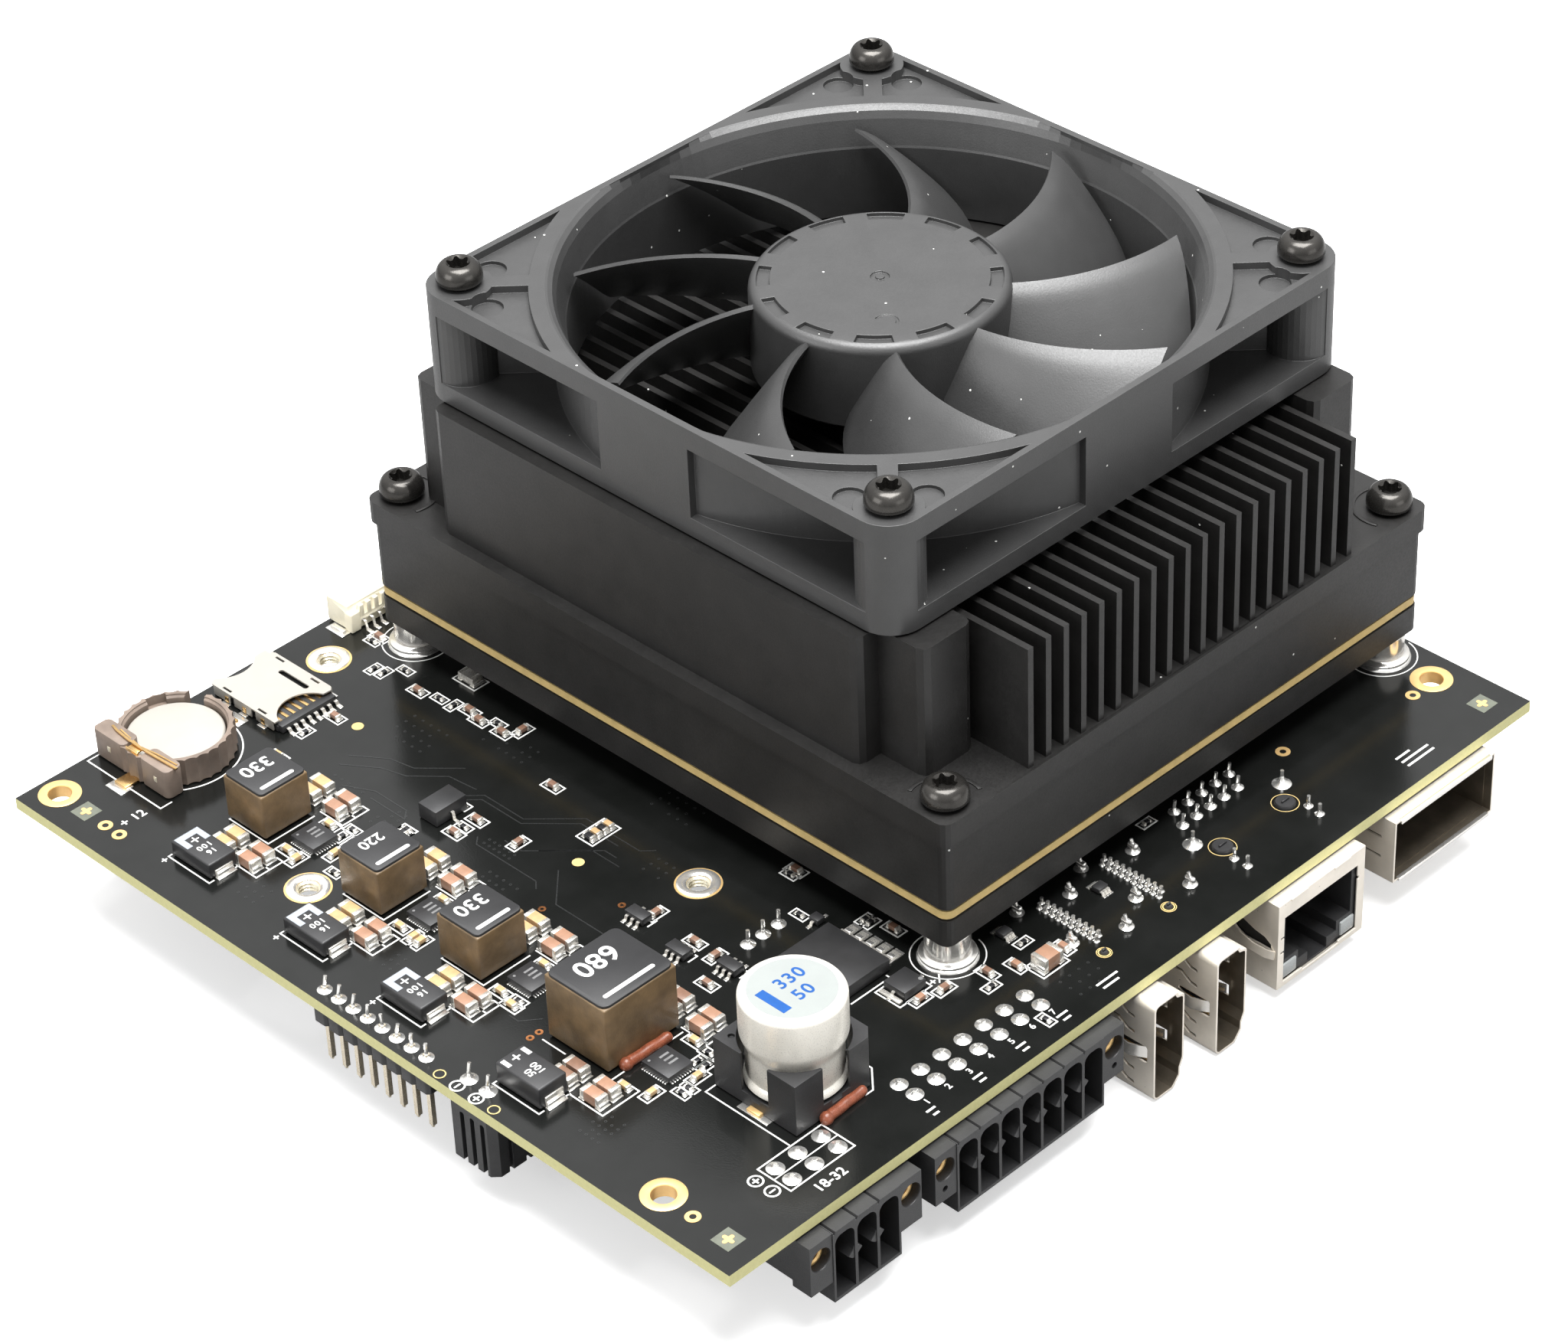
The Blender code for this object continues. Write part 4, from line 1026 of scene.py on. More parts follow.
TAN = "ceramic_tan"
PINK = "ceramic_pink"
DARK = "resistor_black"
SMALL_PARTS = (
    (15.9, 92.0, "y", TAN), (15.5, 89.9, "x", TAN), (19.3, 87.2, "x", TAN), (22.6, 92.0, "y", TAN),
    (22.2, 89.2, "x", DARK), (23.9, 89.2, "y", DARK), (22.2, 87.5, "x", DARK), (16.9, 84.6, "y", DARK),
    (15.4, 70.9, "y", TAN), (15.2, 68.2, "x", TAN), (15.2, 67.0, "x", TAN), (22.2, 70.8, "y", TAN),
    (23.2, 67.6, "x", DARK), (15.4, 53.3, "y", TAN), (14.6, 50.6, "y", TAN), (15.7, 50.6, "y", DARK),
    (22.1, 53.1, "y", TAN), (14.9, 27.5, "x", TAN), (17.3, 25.1, "y", DARK), (18.4, 25.1, "y", DARK),
    (20.4, 25.7, "x", TAN), (22.3, 27.7, "x", DARK), (22.4, 26.4, "x", DARK), (24.2, 27.8, "y", DARK),
    (27.8, 84.3, "y", DARK), (28.4, 84.3, "y", DARK), (37.0, 43.1, "y", TAN), (36.8, 39.5, "x", TAN),
    (32.6, 36.6, "y", TAN), (48.9, 37.6, "y", DARK), (53.6, 43.8, "y", DARK), (54.6, 43.8, "y", TAN),
    (53.5, 30.4, "x", DARK), (53.5, 31.3, "x", DARK), (54.5, 27.6, "y", TAN), (47.3, 16.5, "x", PINK),
    (50.5, 15.7, "x", TAN), (54.5, 12.0, "x", DARK), (56.0, 14.0, "y", TAN), (59.2, 12.4, "y", PINK),
    (62.9, 14.7, "x", DARK), (65.3, 10.6, "y", PINK), (31.8, 79.6, "y", TAN), (33.4, 79.6, "y", DARK),
    (35.4, 79.4, "y", TAN), (36.2, 83.0, "y", DARK), (37.6, 50.3, "x", TAN), (46.2, 77.5, "y", TAN),
    (35.7, 72.3, "x", TAN), (37.5, 108.2, "y", TAN), (32.9, 108.6, "x", DARK), (47.6, 112.4, "x", DARK),
    (47.9, 110.8, "x", DARK), (50.1, 109.1, "y", DARK), (51.5, 117.0, "y", DARK), (52.6, 117.0, "y", TAN),
    (48.2, 104.6, "y", TAN), (49.0, 101.4, "y", DARK), (49.2, 99.0, "x", DARK), (49.8, 96.6, "y", TAN),
    (49.2, 94.2, "y", TAN), (50.4, 92.0, "y", DARK), (49.4, 90.2, "y", TAN), (51.4, 88.6, "x", TAN),
    (54.4, 3.4, "y", DARK), (89.6, 19.0, "x", DARK), (26.1, 107.2, "y", DARK), (27.4, 107.4, "y", TAN),
)

def make_small_parts():
    """Loose chip parts with their printed boxes, in the places that the circuit gives them."""
    parts = Solid()
    ink = Solid()
    for x, y, along, body in SMALL_PARTS:
        size = CHIP_0603 if body != DARK else CHIP_0402
        if body == TAN and x > 30:
            body = "ceramic_brown"
        add_chip(parts, x, y, size, along, body, ink)
    for index in range(4):
        add_chip(parts, 42.2 + index * 1.05, 66.7, CHIP_0603, "y", TAN if index % 2 else DARK)
    add_frame_line(ink, (41.4, 65.3), (46.1, 68.2))
    add_chip(parts, 61.9, 10.0, (3.2, 2.3, 1.9), "x", "ceramic_pink", ink)
    add_chip(parts, 54.3, 101.4, (2.8, 1.8, 1.2), "y", "tin", ink)
    for index in range(1, 4):
        low, _ = box_mm(f"inductor_small_{index}")
        add_regulator(parts, low.x + 4.15, low.y - 4.2, 3.9, 4.2)
    low, _ = box_mm("inductor_large")
    add_regulator(parts, low.x + 5.45, low.y - 4.0, 3.9, 4.4)
    for x, y in ((34.3, 43.0), (36.3, 36.5), (35.6, 51.2)):
        add_gull_package(parts, x, y, (1.7, 3.0), 3, 0.95)
        print_line(ink, [(x - 0.4, y - 1.9), (x + 1.1, y - 1.9), (x + 1.1, y - 1.5)])
    add_gull_package(parts, 49.4, 35.2, (1.3, 1.5), 1, 0.95, height=0.9)
    for x, y in ((62.4, 17.3), (76.2, 14.6)):
        add_gull_package(parts, x, y, (1.6, 1.3), 3, 0.5, along="x", height=0.8, reach=0.6)
    add_gull_package(parts, 33.6, 83.5, (5.0, 3.2), 1, 2.0, along="x", height=2.3, reach=1.1)
    add_gull_package(parts, 47.6, 19.2, (3.6, 3.4), 1, 1.0, height=1.3, reach=0.9)
    parts.box((44.95, 17.6, 0.0), (45.6, 20.9, 0.35), "tin", 0.08)
    add_frame_line(ink, (44.7, 17.2), (50.0, 21.2))
    parts.disc((49.0, 18.0, 0), 0.3, 1.25, 1.33, "grey_ink", 16)
    parts.done("small_parts")
    ink.done("small_part_outlines")

# ---------------------------------------------------------------- solder joints

def add_joint(solid, x, y, radius, height, tail=0.0, lean=(0.0, 0.0)):
    """A concave cone of solder up a pin, with the cut end of the pin standing out of it."""
    pin = 0.22
    steps = 6
    profile = [(0, height)]
    for step in range(1, steps + 1):
        share = step / steps
        out = pin + (radius - pin) * share ** 2.2
        profile.append((out, height * (1 - share) * (1 - 0.35 * share)))
    profile += [(radius, -0.01), (0, -0.01)]
    solid.lathe((x, y, 0), profile, "solder", 16)
    if tail:
        top = (x + lean[0], y + lean[1], height + tail)
        solid.tube([(x, y, height * 0.5), (x, y, height), top], 0.24, "solder", 8)

def make_joints():
    """Soldered pin ends of the parts that hang under the board."""
    solid = Solid()
    rng = random.Random(3)
    for index in range(8):
        y = 51.1 + PIN_PITCH * index
        add_joint(solid, 1.9, y, 0.95, 0.75, 1.1, (rng.uniform(0.1, 0.45), rng.uniform(0.0, 0.3)))
    for y in (44.7, 41.5):
        add_joint(solid, 2.7, y, 1.1, 1.0, 1.2, (0.3, 0.1))
    for x in (15.6, 19.1, 22.8):
        for y in (8.5, 5.9):
            add_joint(solid, x, y, 1.12, 0.55, 0.12)
    for index in range(7):
        for y in (8.1, 5.65):
            add_joint(solid, 35.0 + WAY * index, y, 1.08, 0.55, 0.12)
    for x in (41.0, 43.5, 46.1):
        add_joint(solid, x, 38.3, 0.95, 0.9, 1.1, (0.1, 0.1))
    for left in (68.9, 80.0):
        for index in range(10):
            for column in range(2):
                y = 8.6 + index * 1.0 + 0.5 * column
                add_joint(solid, left + column * 0.95, y, 0.42, 0.45, 0.3)
    for x, y in (
        (66.5, 19.0), (66.7, 10.5), (73.3, 16.7), (73.3, 7.8), (77.8, 19.0), (78.0, 10.5), (84.5, 16.7),
        (84.3, 7.5),
    ):
        add_joint(solid, x, y, 0.95, 0.9, 0.7, (0.0, 0.3))
        solid.box((x - 0.35, y - 0.75, 0.3), (x + 0.35, y + 0.75, 1.15), "solder", 0.3, 3)
    for index in range(5):
        for x, y in ((93.5, 18.0), (92.2, 15.5)):
            add_joint(solid, x + index * PIN_PITCH, y, 0.8, 0.75, 0.9, (0.1, 0.0))
    for x, y in ((90.2, 12.2), (106.5, 12.0)):
        add_joint(solid, x, y, 1.25, 1.5, 0.5)
    for x, y in ((91.5, 6.8), (91.5, 4.7), (105.3, 6.8), (105.0, 4.8)):
        add_joint(solid, x, y, 0.62, 0.7, 0.8)
    solid.done("solder_joints")
    pegs = Solid("black_plastic")
    for x, y, radius in ((92.2, 9.2, 1.35), (103.8, 9.2, 1.35), (67.9, 6.5, 0.55), (79.3, 6.5, 0.55)):
        add_ring(pegs, (x, y), radius + 0.32, radius + 0.42, INK, "bare_laminate", 40)
        pegs.lathe(
            (x, y, 0), [(0, 0.35), (radius - 0.15, 0.35), (radius, 0.1), (radius, -0.01), (0, -0.01)],
            steps=32,
        )
        pegs.box((x - radius * 0.5, y - 0.12, 0.3), (x + radius * 0.5, y + 0.12, 0.65), bevel=0.05)
    pegs.done("peg_ends")

# ---------------------------------------------------------------- larger parts on the board

def make_inductor(node, figures, figure_size):
    """A brown pressed core with a black top plate that carries a white bar and figures."""
    low, high = box_mm(node)
    wide = high.x - low.x
    deep = high.y - low.y
    plate = 0.35
    core = Solid()
    core.box((low.x, low.y, low.z), (high.x, high.y, high.z - plate), "ferrite", 0.22, 3)
    inset = 0.12
    outline = rounded_rectangle(
        (low.x + inset, low.y + inset), (high.x - inset, high.y - inset), wide * 0.09, 5
    )
    core.prism(outline, high.z - plate - 0.05, high.z, "plate_black", 0.06, 2)
    bar_low, bar_high = low.x + wide * 0.13, high.x - wide * 0.17
    bar_y = low.y + deep * 0.16
    core.prism(rounded_rectangle((bar_low, bar_y - 0.3), (bar_high, bar_y + 0.3), 0.28, 4),
               high.z - 0.01, high.z + 0.015, "white_ink")
    core.done(node + "_body")
    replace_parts(bpy.data.objects[node + "_body"], node)
    middle = ((low.x + high.x) / 2 - wide * 0.03, high.y - deep * 0.3, high.z + 0.002)
    make_digits(node + "_figures", figures, figure_size, middle, 180, "white_ink")

def make_polymer_cap(node, banded):
    """A low moulded capacitor with a plated tab at its front end."""
    low, high = box_mm(node)
    middle = (low.x + high.x) / 2
    shape = Solid("tin")
    shape.box((low.x, low.y + 0.05, 0.12), (high.x, high.y, high.z), "chip_black", 0.24, 3)
    half = (high.x - low.x) * 0.32
    shape.box(
        (middle - half, low.y - 0.12, 0.02), (middle + half, low.y + 0.4, (high.z - low.z) * 0.55),
        bevel=0.06,
    )
    shape.box((middle - half - 0.1, low.y - 0.75, 0.0), (middle + half + 0.1, low.y, 0.14), "solder", 0.06)
    shape.prism(
        [
            (middle - half, 0.1), (middle + half, 0.1), (middle + half * 0.9, 0.75),
            (middle - half * 0.9, 0.75),
        ],
        low.y - 0.4, low.y - 0.1, "solder", 0.1, plane="XZ",
    )
    shape.box(
        (middle - half, high.y - 0.3, 0.02), (middle + half, high.y + 0.2, (high.z - low.z) * 0.5),
        bevel=0.06,
    )
    level = (high.z - 0.01, high.z + 0.015)
    if banded:
        edge = 0.3
        band = [(low.x + edge, high.y - edge), (low.x + edge, high.y - 2.9), (low.x + 1.15, high.y - 2.9),
                (low.x + 1.15, high.y - 1.25), (high.x - 1.15, high.y - 1.25), (high.x - 1.15, high.y - 2.9),
                (high.x - edge, high.y - 2.9), (high.x - edge, high.y - edge)]
        shape.prism(band, *level, "pale_blue_ink")
        add_plus(shape, (middle, high.y - 2.1), 0.62, 0.2, level, "white_ink")
    else:
        for side in (-1, 1):
            edge = middle + side * 1.55
            print_bar(shape, (edge - 0.3, high.y - 1.9), (edge + 0.3, high.y - 0.5), level)
        add_plus(shape, (middle, high.y - 1.2), 0.6, 0.22, level, "white_ink")
    shape.done(node + "_body")
    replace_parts(bpy.data.objects[node + "_body"], node)
    if banded:
        make_digits(
            node + "_figures", "100", 1.25, (middle, high.y - 3.85, high.z + 0.002), 180, "white_ink",
            1.2,
        )
        make_digits(
            node + "_figures_low", "16", 1.25, (middle, high.y - 5.2, high.z + 0.002), 180, "white_ink",
            1.1,
        )
    else:
        make_digits(
            node + "_figures", "100", 1.3, (middle + 0.5, high.y - 4.3, high.z + 0.002), 90,
            "white_ink", 1.1,
        )
        make_digits(
            node + "_figures_low", "50", 1.3, (middle - 0.7, high.y - 4.3, high.z + 0.002), 90,
            "white_ink",
        )

def make_electrolytic():
    """A pearl-coated can that narrows above its crimp, in a black base with four corner posts."""
    low, high = box_mm("electrolytic_base")
    centre = foot_mm("electrolytic_base")
    top = box_mm("electrolytic_can")[1].z
    radius = 6.3
    profile = [(0, top)]
    profile += quarter_round(radius, 0.75, top, 6)
    waist = 5.7
    profile += [
        (radius - (radius - waist) * (0.5 - 0.5 * math.cos(math.pi * step / 8)), 8.7 - 2.2 * step / 8)
        for step in range(9)
    ]
    profile += [
        (waist, 3.3), (waist - 0.12, 3.1), (waist - 0.12, 2.85), (waist + 0.2, 2.5), (waist + 0.3, 1.9),
        (waist, 1.5), (0, 1.5),
    ]
    can = Solid()
    can.lathe(centre, profile, "pearl", 96)
    can.disc(centre, 5.2, top - 0.01, top + 0.012, "pearl_top", 64)
    bar = (centre[0] - 3.1, centre[1] - 0.1)
    level = (top + 0.005, top + 0.028)
    print_bar(can, (bar[0] - 0.65, bar[1] - 2.3), (bar[0] + 0.65, bar[1] + 2.3), level, "blue_ink")
    piece = can.done("electrolytic_can_body")
    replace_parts(piece, "electrolytic_can")
    make_digits(
        "electrolytic_figures", "330", 2.5, (centre[0] + 1.0, centre[1] + 1.4, top + 0.016), 0,
        "blue_ink", 1.15,
    )
    make_digits(
        "electrolytic_volts", "50", 2.5, (centre[0] + 0.4, centre[1] - 1.4, top + 0.016), 0, "blue_ink",
        1.15,
    )
    base = Solid()
    cut = 1.3
    outline = [(low.x, low.y), (high.x - cut, low.y), (high.x, low.y + cut), (high.x, high.y - cut),
               (high.x - cut, high.y), (low.x, high.y)]
    base.prism(outline, 0.15, 7.3, "black_plastic")
    body = base.done("electrolytic_base_body")
    seat = Solid()
    seat.disc(centre, 6.55, 1.3, 9, "black_plastic", 64)
    lanes = Solid()
    lane = 2.1
    lanes.box((low.x - 1, centre[1] - lane, 1.9), (high.x + 1, centre[1] + lane, 9), "black_plastic")
    cross = Solid()
    cross.box((centre[0] - lane, low.y - 1, 1.9), (centre[0] + lane, high.y + 1, 9), "black_plastic")
    dimple = Solid()
    dimple.lathe(
        (low.x + 1.5, high.y - 1.5, 0), [(0, 9), (0.5, 9), (0.4, 6.9), (0, 6.9)], "black_plastic", 20
    )
    subtract(body, seat, lanes, cross, dimple)
    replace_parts(body, "electrolytic_base")
    soften(body, 0.15, 2, 30.0)
    extras = Solid("solder")
    extras.box((19.85, 14.1, 0.0), (21.0, 18.9, 0.1), bevel=0.04)
    extras.box((20.1, 15.6, 0.05), (21.4, 17.6, 0.45), "brass", 0.08)
    extras.box((33.6, 15.4, 0.0), (34.8, 18.2, 0.12), bevel=0.04)
    extras.done("electrolytic_tabs")
    glue = Solid("glue")
    for start, end in (((25.0, 9.75), (31.0, 10.1)), ((16.2, 33.0), (22.6, 32.9))):
        points = 8
        path = [(start[0] + (end[0] - start[0]) * i / points, start[1] + (end[1] - start[1]) * i / points,
                 0.45 + 0.05 * math.sin(i * 1.7)) for i in range(points + 1)]
        glue.tube(path, 0.68, sides=18)
        for place, size in ((start, 0.85), (end, 0.66)):
            dome = [(size * math.sin(math.pi * step / 12), 0.45 + size * math.cos(math.pi * step / 12))
                    for step in range(13)]
            glue.lathe((place[0], place[1], 0), dome, steps=20)
    glue.done("glue_beads")

def make_coin_holder():
    """A scalloped ring and clip block around the coin cell, with a gold strip across the block."""
    top = box_mm("coin_cell_holder")[1].z - 0.25
    ring_centre = middle_mm("coin_cell")
    centre = (ring_centre.x, ring_centre.y)
    outline = []
    ribs = 30
    for step in range(ribs * 6):
        angle = math.tau * step / (ribs * 6)
        radius = 7.5 - 0.3 * abs(math.sin(angle * ribs / 2)) ** 0.8
        outline.append((centre[0] + radius * math.cos(angle), centre[1] + radius * math.sin(angle)))
    ring = Solid()
    ring.prism(outline, 0.2, top, "holder_plastic")
    piece = ring.done("coin_holder_ring")
    well = Solid()
    well.lathe((*centre, 0), [(0, 6), (6.75, 6), (6.75, top - 0.2), (6.5, top - 0.45), (6.5, 0.9), (0, 0.9)],
               "holder_plastic", 72)
    notch = Solid()
    notch.prism([(24.5, 119.0), (28.5, 120.2), (28.5, 122.4), (23.8, 121.6)], 0.9, 6.0, "holder_plastic")
    pocket = Solid()
    pocket.prism(
        arc(centre, 7.15, 60, 82, 5) + arc(centre, 6.3, 82, 60, 5), top - 1.3, 6.0, "holder_plastic"
    )
    subtract(piece, well, notch, pocket)
    soften(piece, 0.12, 2, 50.0)
    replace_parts(piece, "coin_cell_holder")
    block = Solid("holder_plastic")
    for index, (front, back) in enumerate(((110.3, 115.6), (118.7, 124.7))):
        outline = rounded_rectangle((12.4, front), (15.1, back), 0.75, 5)
        block.prism(outline, 0.2, 4.25, bevel=0.12, segments=2)
        spot = (front + back) / 2 - 0.4 + 0.3 * index
        block.box((12.33, spot - 0.3, 1.9), (12.5, spot + 0.3, 2.7), "cream_metal", 0.05)
    block.box((12.9, 115.0, 0.2), (15.0, 119.2, 1.6), bevel=0.1)
    block.done("coin_holder_block")
    cell_top = box_mm("coin_cell")[1].z
    cell = Solid()
    profile = [(0, cell_top)] + quarter_round(6.22, 0.35, cell_top, 5)
    profile += [(6.22, 1.7), (5.4, 1.15), (0, 1.15)]
    cell.lathe((*centre, 0), profile, "cell_steel", 96)
    body = cell.done("coin_cell_body")
    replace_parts(body, "coin_cell")
    strip = Solid("gold_strip")
    strip.tube([(13.9, 109.9, 4.42), (13.75, 111.5, 4.5), (13.5, 115.6, 4.55), (13.6, 119.0, 4.5),
                (13.9, 121.6, 4.45), (14.3, 122.9, 4.3)], 0, flat=(0.32, 0.2))
    strip.tube(
        [(14.5, 110.6, 4.32), (14.2, 114.0, 4.4), (14.0, 117.2, 4.05), (14.4, 121.5, 4.35)], 0,
        flat=(0.2, 0.12),
    )
    strip.box((12.55, 116.0, 0.5), (12.8, 118.3, 4.4), bevel=0.08)
    strip.box((12.6, 116.2, 4.1), (13.8, 118.1, 4.35), bevel=0.08)
    strip.box((10.2, 116.05, 0.1), (12.8, 118.25, 0.45), bevel=0.08)
    strip.box((9.1, 115.6, 0.0), (10.6, 118.7, 0.12), "solder", 0.05)
    strip.box((10.3, 115.8, 0.0), (11.3, 118.5, 0.2), "solder", 0.08)
    strip.box((27.9, 115.7, 0.0), (29.7, 118.6, 0.16), "solder", 0.06)
    strip.box((27.2, 116.5, 0.1), (28.7, 117.8, 0.42), bevel=0.08)
    contact = strip.done("coin_cell_strip")
    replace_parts(contact, "coin_cell_contact")

def make_card_socket():
    """A pressed cover with scooped ends and folded sides over a black contact tray."""
    low, high = box_mm("card_socket_cover")
    cover = Solid("cell_steel")
    outline = [(low.x, low.y + 0.2), (low.x + 1.1, low.y + 0.2)]
    outline += arc(((low.x + high.x) / 2 - 0.5, low.y - 1.2), 4.0, 158, 22, 14)
    outline += [
        (high.x - 0.5, low.y + 0.2), (high.x, low.y + 0.8), (high.x, high.y - 1.4),
        (high.x - 0.5, high.y - 0.8), (high.x - 0.5, high.y), (high.x - 1.7, high.y),
    ]
    outline += arc(((low.x + high.x) / 2 - 0.6, high.y + 2.4), 4.0, -38, -142, 12)
    outline += [(low.x + 0.6, high.y), (low.x, high.y - 0.5)]
    cover.prism(outline, high.z - 0.2, high.z)
    for x in (low.x, high.x - 0.2):
        for y0, y1 in ((low.y + 0.6, low.y + 4.0), (low.y + 4.8, low.y + 8.2), (low.y + 9.0, high.y - 0.8)):
            cover.box((x, y0, 0.25), (x + 0.2, y1, high.z - 0.1), bevel=0.04)
    piece = cover.done("card_socket_sheet")
    slot_cut = Solid("cell_steel")
    slot_cut.prism(rounded_rectangle((37.5, 113.7), (38.3, 119.2), 0.35, 3), 1.0, 3.0)
    for x in (low.x + 0.35, high.x - 0.75):
        for y in (low.y + 2.4, low.y + 9.2):
            slot_cut.box((x, y, 1.0), (x + 0.35, y + 1.6, 3.0))
    subtract(piece, slot_cut, crossing=True)
    soften(piece, 0.05, 2, 40.0)
    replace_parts(piece, "card_socket_cover")
    tray = Solid("solder")
    tray.box((low.x + 0.35, low.y + 0.1, 0.1), (high.x - 0.35, high.y - 0.4, 0.95), "black_plastic", 0.08)
    tray.box((low.x + 0.5, low.y - 0.6, 0.1), (high.x - 0.4, low.y + 0.6, 1.15), "black_plastic", 0.1)
    for index in range(8):
        x = low.x + 1.4 + index * 1.1
        tray.box((x - 0.22, low.y + 0.2, 0.9), (x + 0.22, low.y + 3.6, 1.08), "gold_strip", 0.04)
        tray.tube(
            [
                (x, low.y - 0.5, 0.55), (x, low.y - 0.9, 0.5), (x, low.y - 1.15, 0.12),
                (x, low.y - 1.75, 0.1),
            ],
            0, "tin", flat=(0.5, 0.14),
        )
        tray.box((x - 0.3, low.y - 1.95, 0.0), (x + 0.3, low.y - 1.1, 0.1), bevel=0.04)
    for y in (low.y + 2.6, low.y + 6.2, low.y + 9.6):
        tray.box((low.x - 0.5, y - 0.7, 0.0), (low.x + 0.1, y + 0.7, 0.14), bevel=0.05)
        tray.box((low.x - 0.1, y - 0.35, 0.3), (low.x + 0.1, y + 0.35, 1.1), "gold_strip", 0.05)
    tray.box((high.x - 0.1, low.y + 0.3, 0.0), (high.x + 0.6, low.y + 1.7, 0.14), bevel=0.05)
    body = tray.done("card_socket_tray")
    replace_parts(body, "card_socket_base")

def make_ivory_connector():
    """A small wire-to-board socket with its latch, side walls, pins and solder feet."""
    low, high = box_mm("four_pin_connector")
    shape = Solid("ivory_plastic")
    shape.box((low.x, low.y + 0.9, 0.3), (high.x, high.y, high.z), bevel=0.15, segments=3)
    shape.box((low.x - 0.1, low.y + 0.1, 0.1), (low.x + 1.5, low.y + 1.6, 3.0), bevel=0.2, segments=3)
    shape.box((high.x - 1.5, low.y + 0.1, 0.1), (high.x + 0.1, low.y + 1.6, 3.0), bevel=0.2, segments=3)
    shape.box((low.x + 1.5, low.y + 0.4, 0.2), (high.x - 1.5, low.y + 1.2, 1.9), bevel=0.12, segments=2)
    for index in range(4):
        x = low.x + 2.0 + index * 1.25
        shape.box(
            (x - 0.35, low.y + 0.35, 1.8), (x + 0.35, low.y + 1.2, high.z - 0.5), bevel=0.1,
            segments=2,
        )
        shape.tube(
            [
                (x, low.y + 0.5, 1.3), (x, low.y - 0.1, 1.2), (x, low.y - 0.4, 0.12),
                (x, low.y - 1.1, 0.1),
            ],
            0, "tin", flat=(0.32, 0.2),
        )
        shape.box((x - 0.3, low.y - 1.5, 0.0), (x + 0.3, low.y - 0.4, 0.1), "solder", 0.04)
    piece = shape.done("ivory_socket")
    mouth = Solid()
    mouth.box((low.x + 0.9, high.y - 3.2, 1.1), (high.x - 0.9, high.y + 1.0, 3.4), "ivory_plastic")
    subtract(piece, mouth, crossing=True)
    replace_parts(piece, "four_pin_connector")
    feet = Solid()
    for x0, x1 in ((low.x - 1.5, low.x + 0.2), (high.x - 0.2, high.x + 1.5)):
        feet.box((x0, low.y + 0.6, 0.0), (x1, low.y + 3.9, 0.14), "solder", 0.06)
        feet.box(
            (min(x0 + 0.5, x1 - 1.0), low.y + 1.0, 0.1), (max(x1 - 0.5, x0 + 1.0), low.y + 3.4, 0.5),
            "tin", 0.08,
        )
    feet.done("ivory_socket_feet")

def make_power_switch():
    """The flat power package with five wide plated leads."""
    low, high = box_mm("power_switch_package")
    shape = Solid("tin")
    shape.box((low.x, low.y, 0.15), (high.x, high.y, high.z), "chip_black", 0.12, 2)
    shape.box((low.x - 0.7, low.y + 0.5, 0.02), (low.x + 0.2, high.y - 0.5, 0.5), bevel=0.08)
    for index in range(5):
        y = low.y + 1.6 + index * 1.72
        shape.box((high.x - 0.1, y - 0.6, 0.45), (high.x + 0.9, y + 0.6, 0.75), bevel=0.08)
        shape.box((high.x + 0.7, y - 0.6, 0.05), (high.x + 1.3, y + 0.6, 0.7), bevel=0.15)
        shape.box((high.x + 1.1, y - 0.6, 0.05), (high.x + 2.9, y + 0.6, 0.3), bevel=0.08)
        shape.box((high.x + 0.4, y - 0.7, 0.0), (high.x + 3.4, y + 0.7, 0.12), "solder", 0.05)
        shape.prism([(high.x + 1.2, 0.05), (high.x + 3.2, 0.05), (high.x + 1.6, 0.45)], y - 0.45, y + 0.45,
                    "solder", 0.08, plane="XZ")
    piece = shape.done("power_package")
    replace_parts(piece, "power_switch_package")

def make_screw(node):
    """A black button-head screw with a rounded skirt and a six-lobed socket."""
    low, high = box_mm(node)
    centre = foot_mm(node)
    radius = (high.x - low.x) / 2
    top = high.z
    seat = top - 2.6
    profile = [(0, top), (1.35, top), (1.6, top - 0.03)]
    for step in range(1, 9):
        angle = math.radians(90 - 11 * step)
        profile.append((1.6 + (radius - 1.6) * math.cos(angle), top - 1.9 + 1.87 * math.sin(angle)))
    profile += [(radius, seat + 0.35), (radius - 0.25, seat + 0.05), (radius - 0.4, seat), (0, seat)]
    head = Solid("black_steel")
    head.lathe(centre, profile, steps=64)
    head.disc(centre, 1.5, low.z, seat + 0.1, steps=24)
    piece = head.done(node + "_head")
    lobes = []
    steps = 72
    lobe_count = 6
    for step in range(steps):
        angle = math.tau * step / steps
        reach = 1.28 + 0.2 * math.cos(lobe_count * angle)
        lobes.append((centre[0] + reach * math.cos(angle), centre[1] + reach * math.sin(angle)))
    socket = Solid()
    socket.prism(lobes, top - 1.5, top + 1.0, "black_steel")
    dish = Solid()
    dish.lathe(
        centre, [(0, top + 0.4), (1.95, top + 0.4), (1.2, top - 0.3), (0, top - 0.3)], "black_steel", 48
    )
    subtract(piece, socket, dish)
    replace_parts(piece, node)

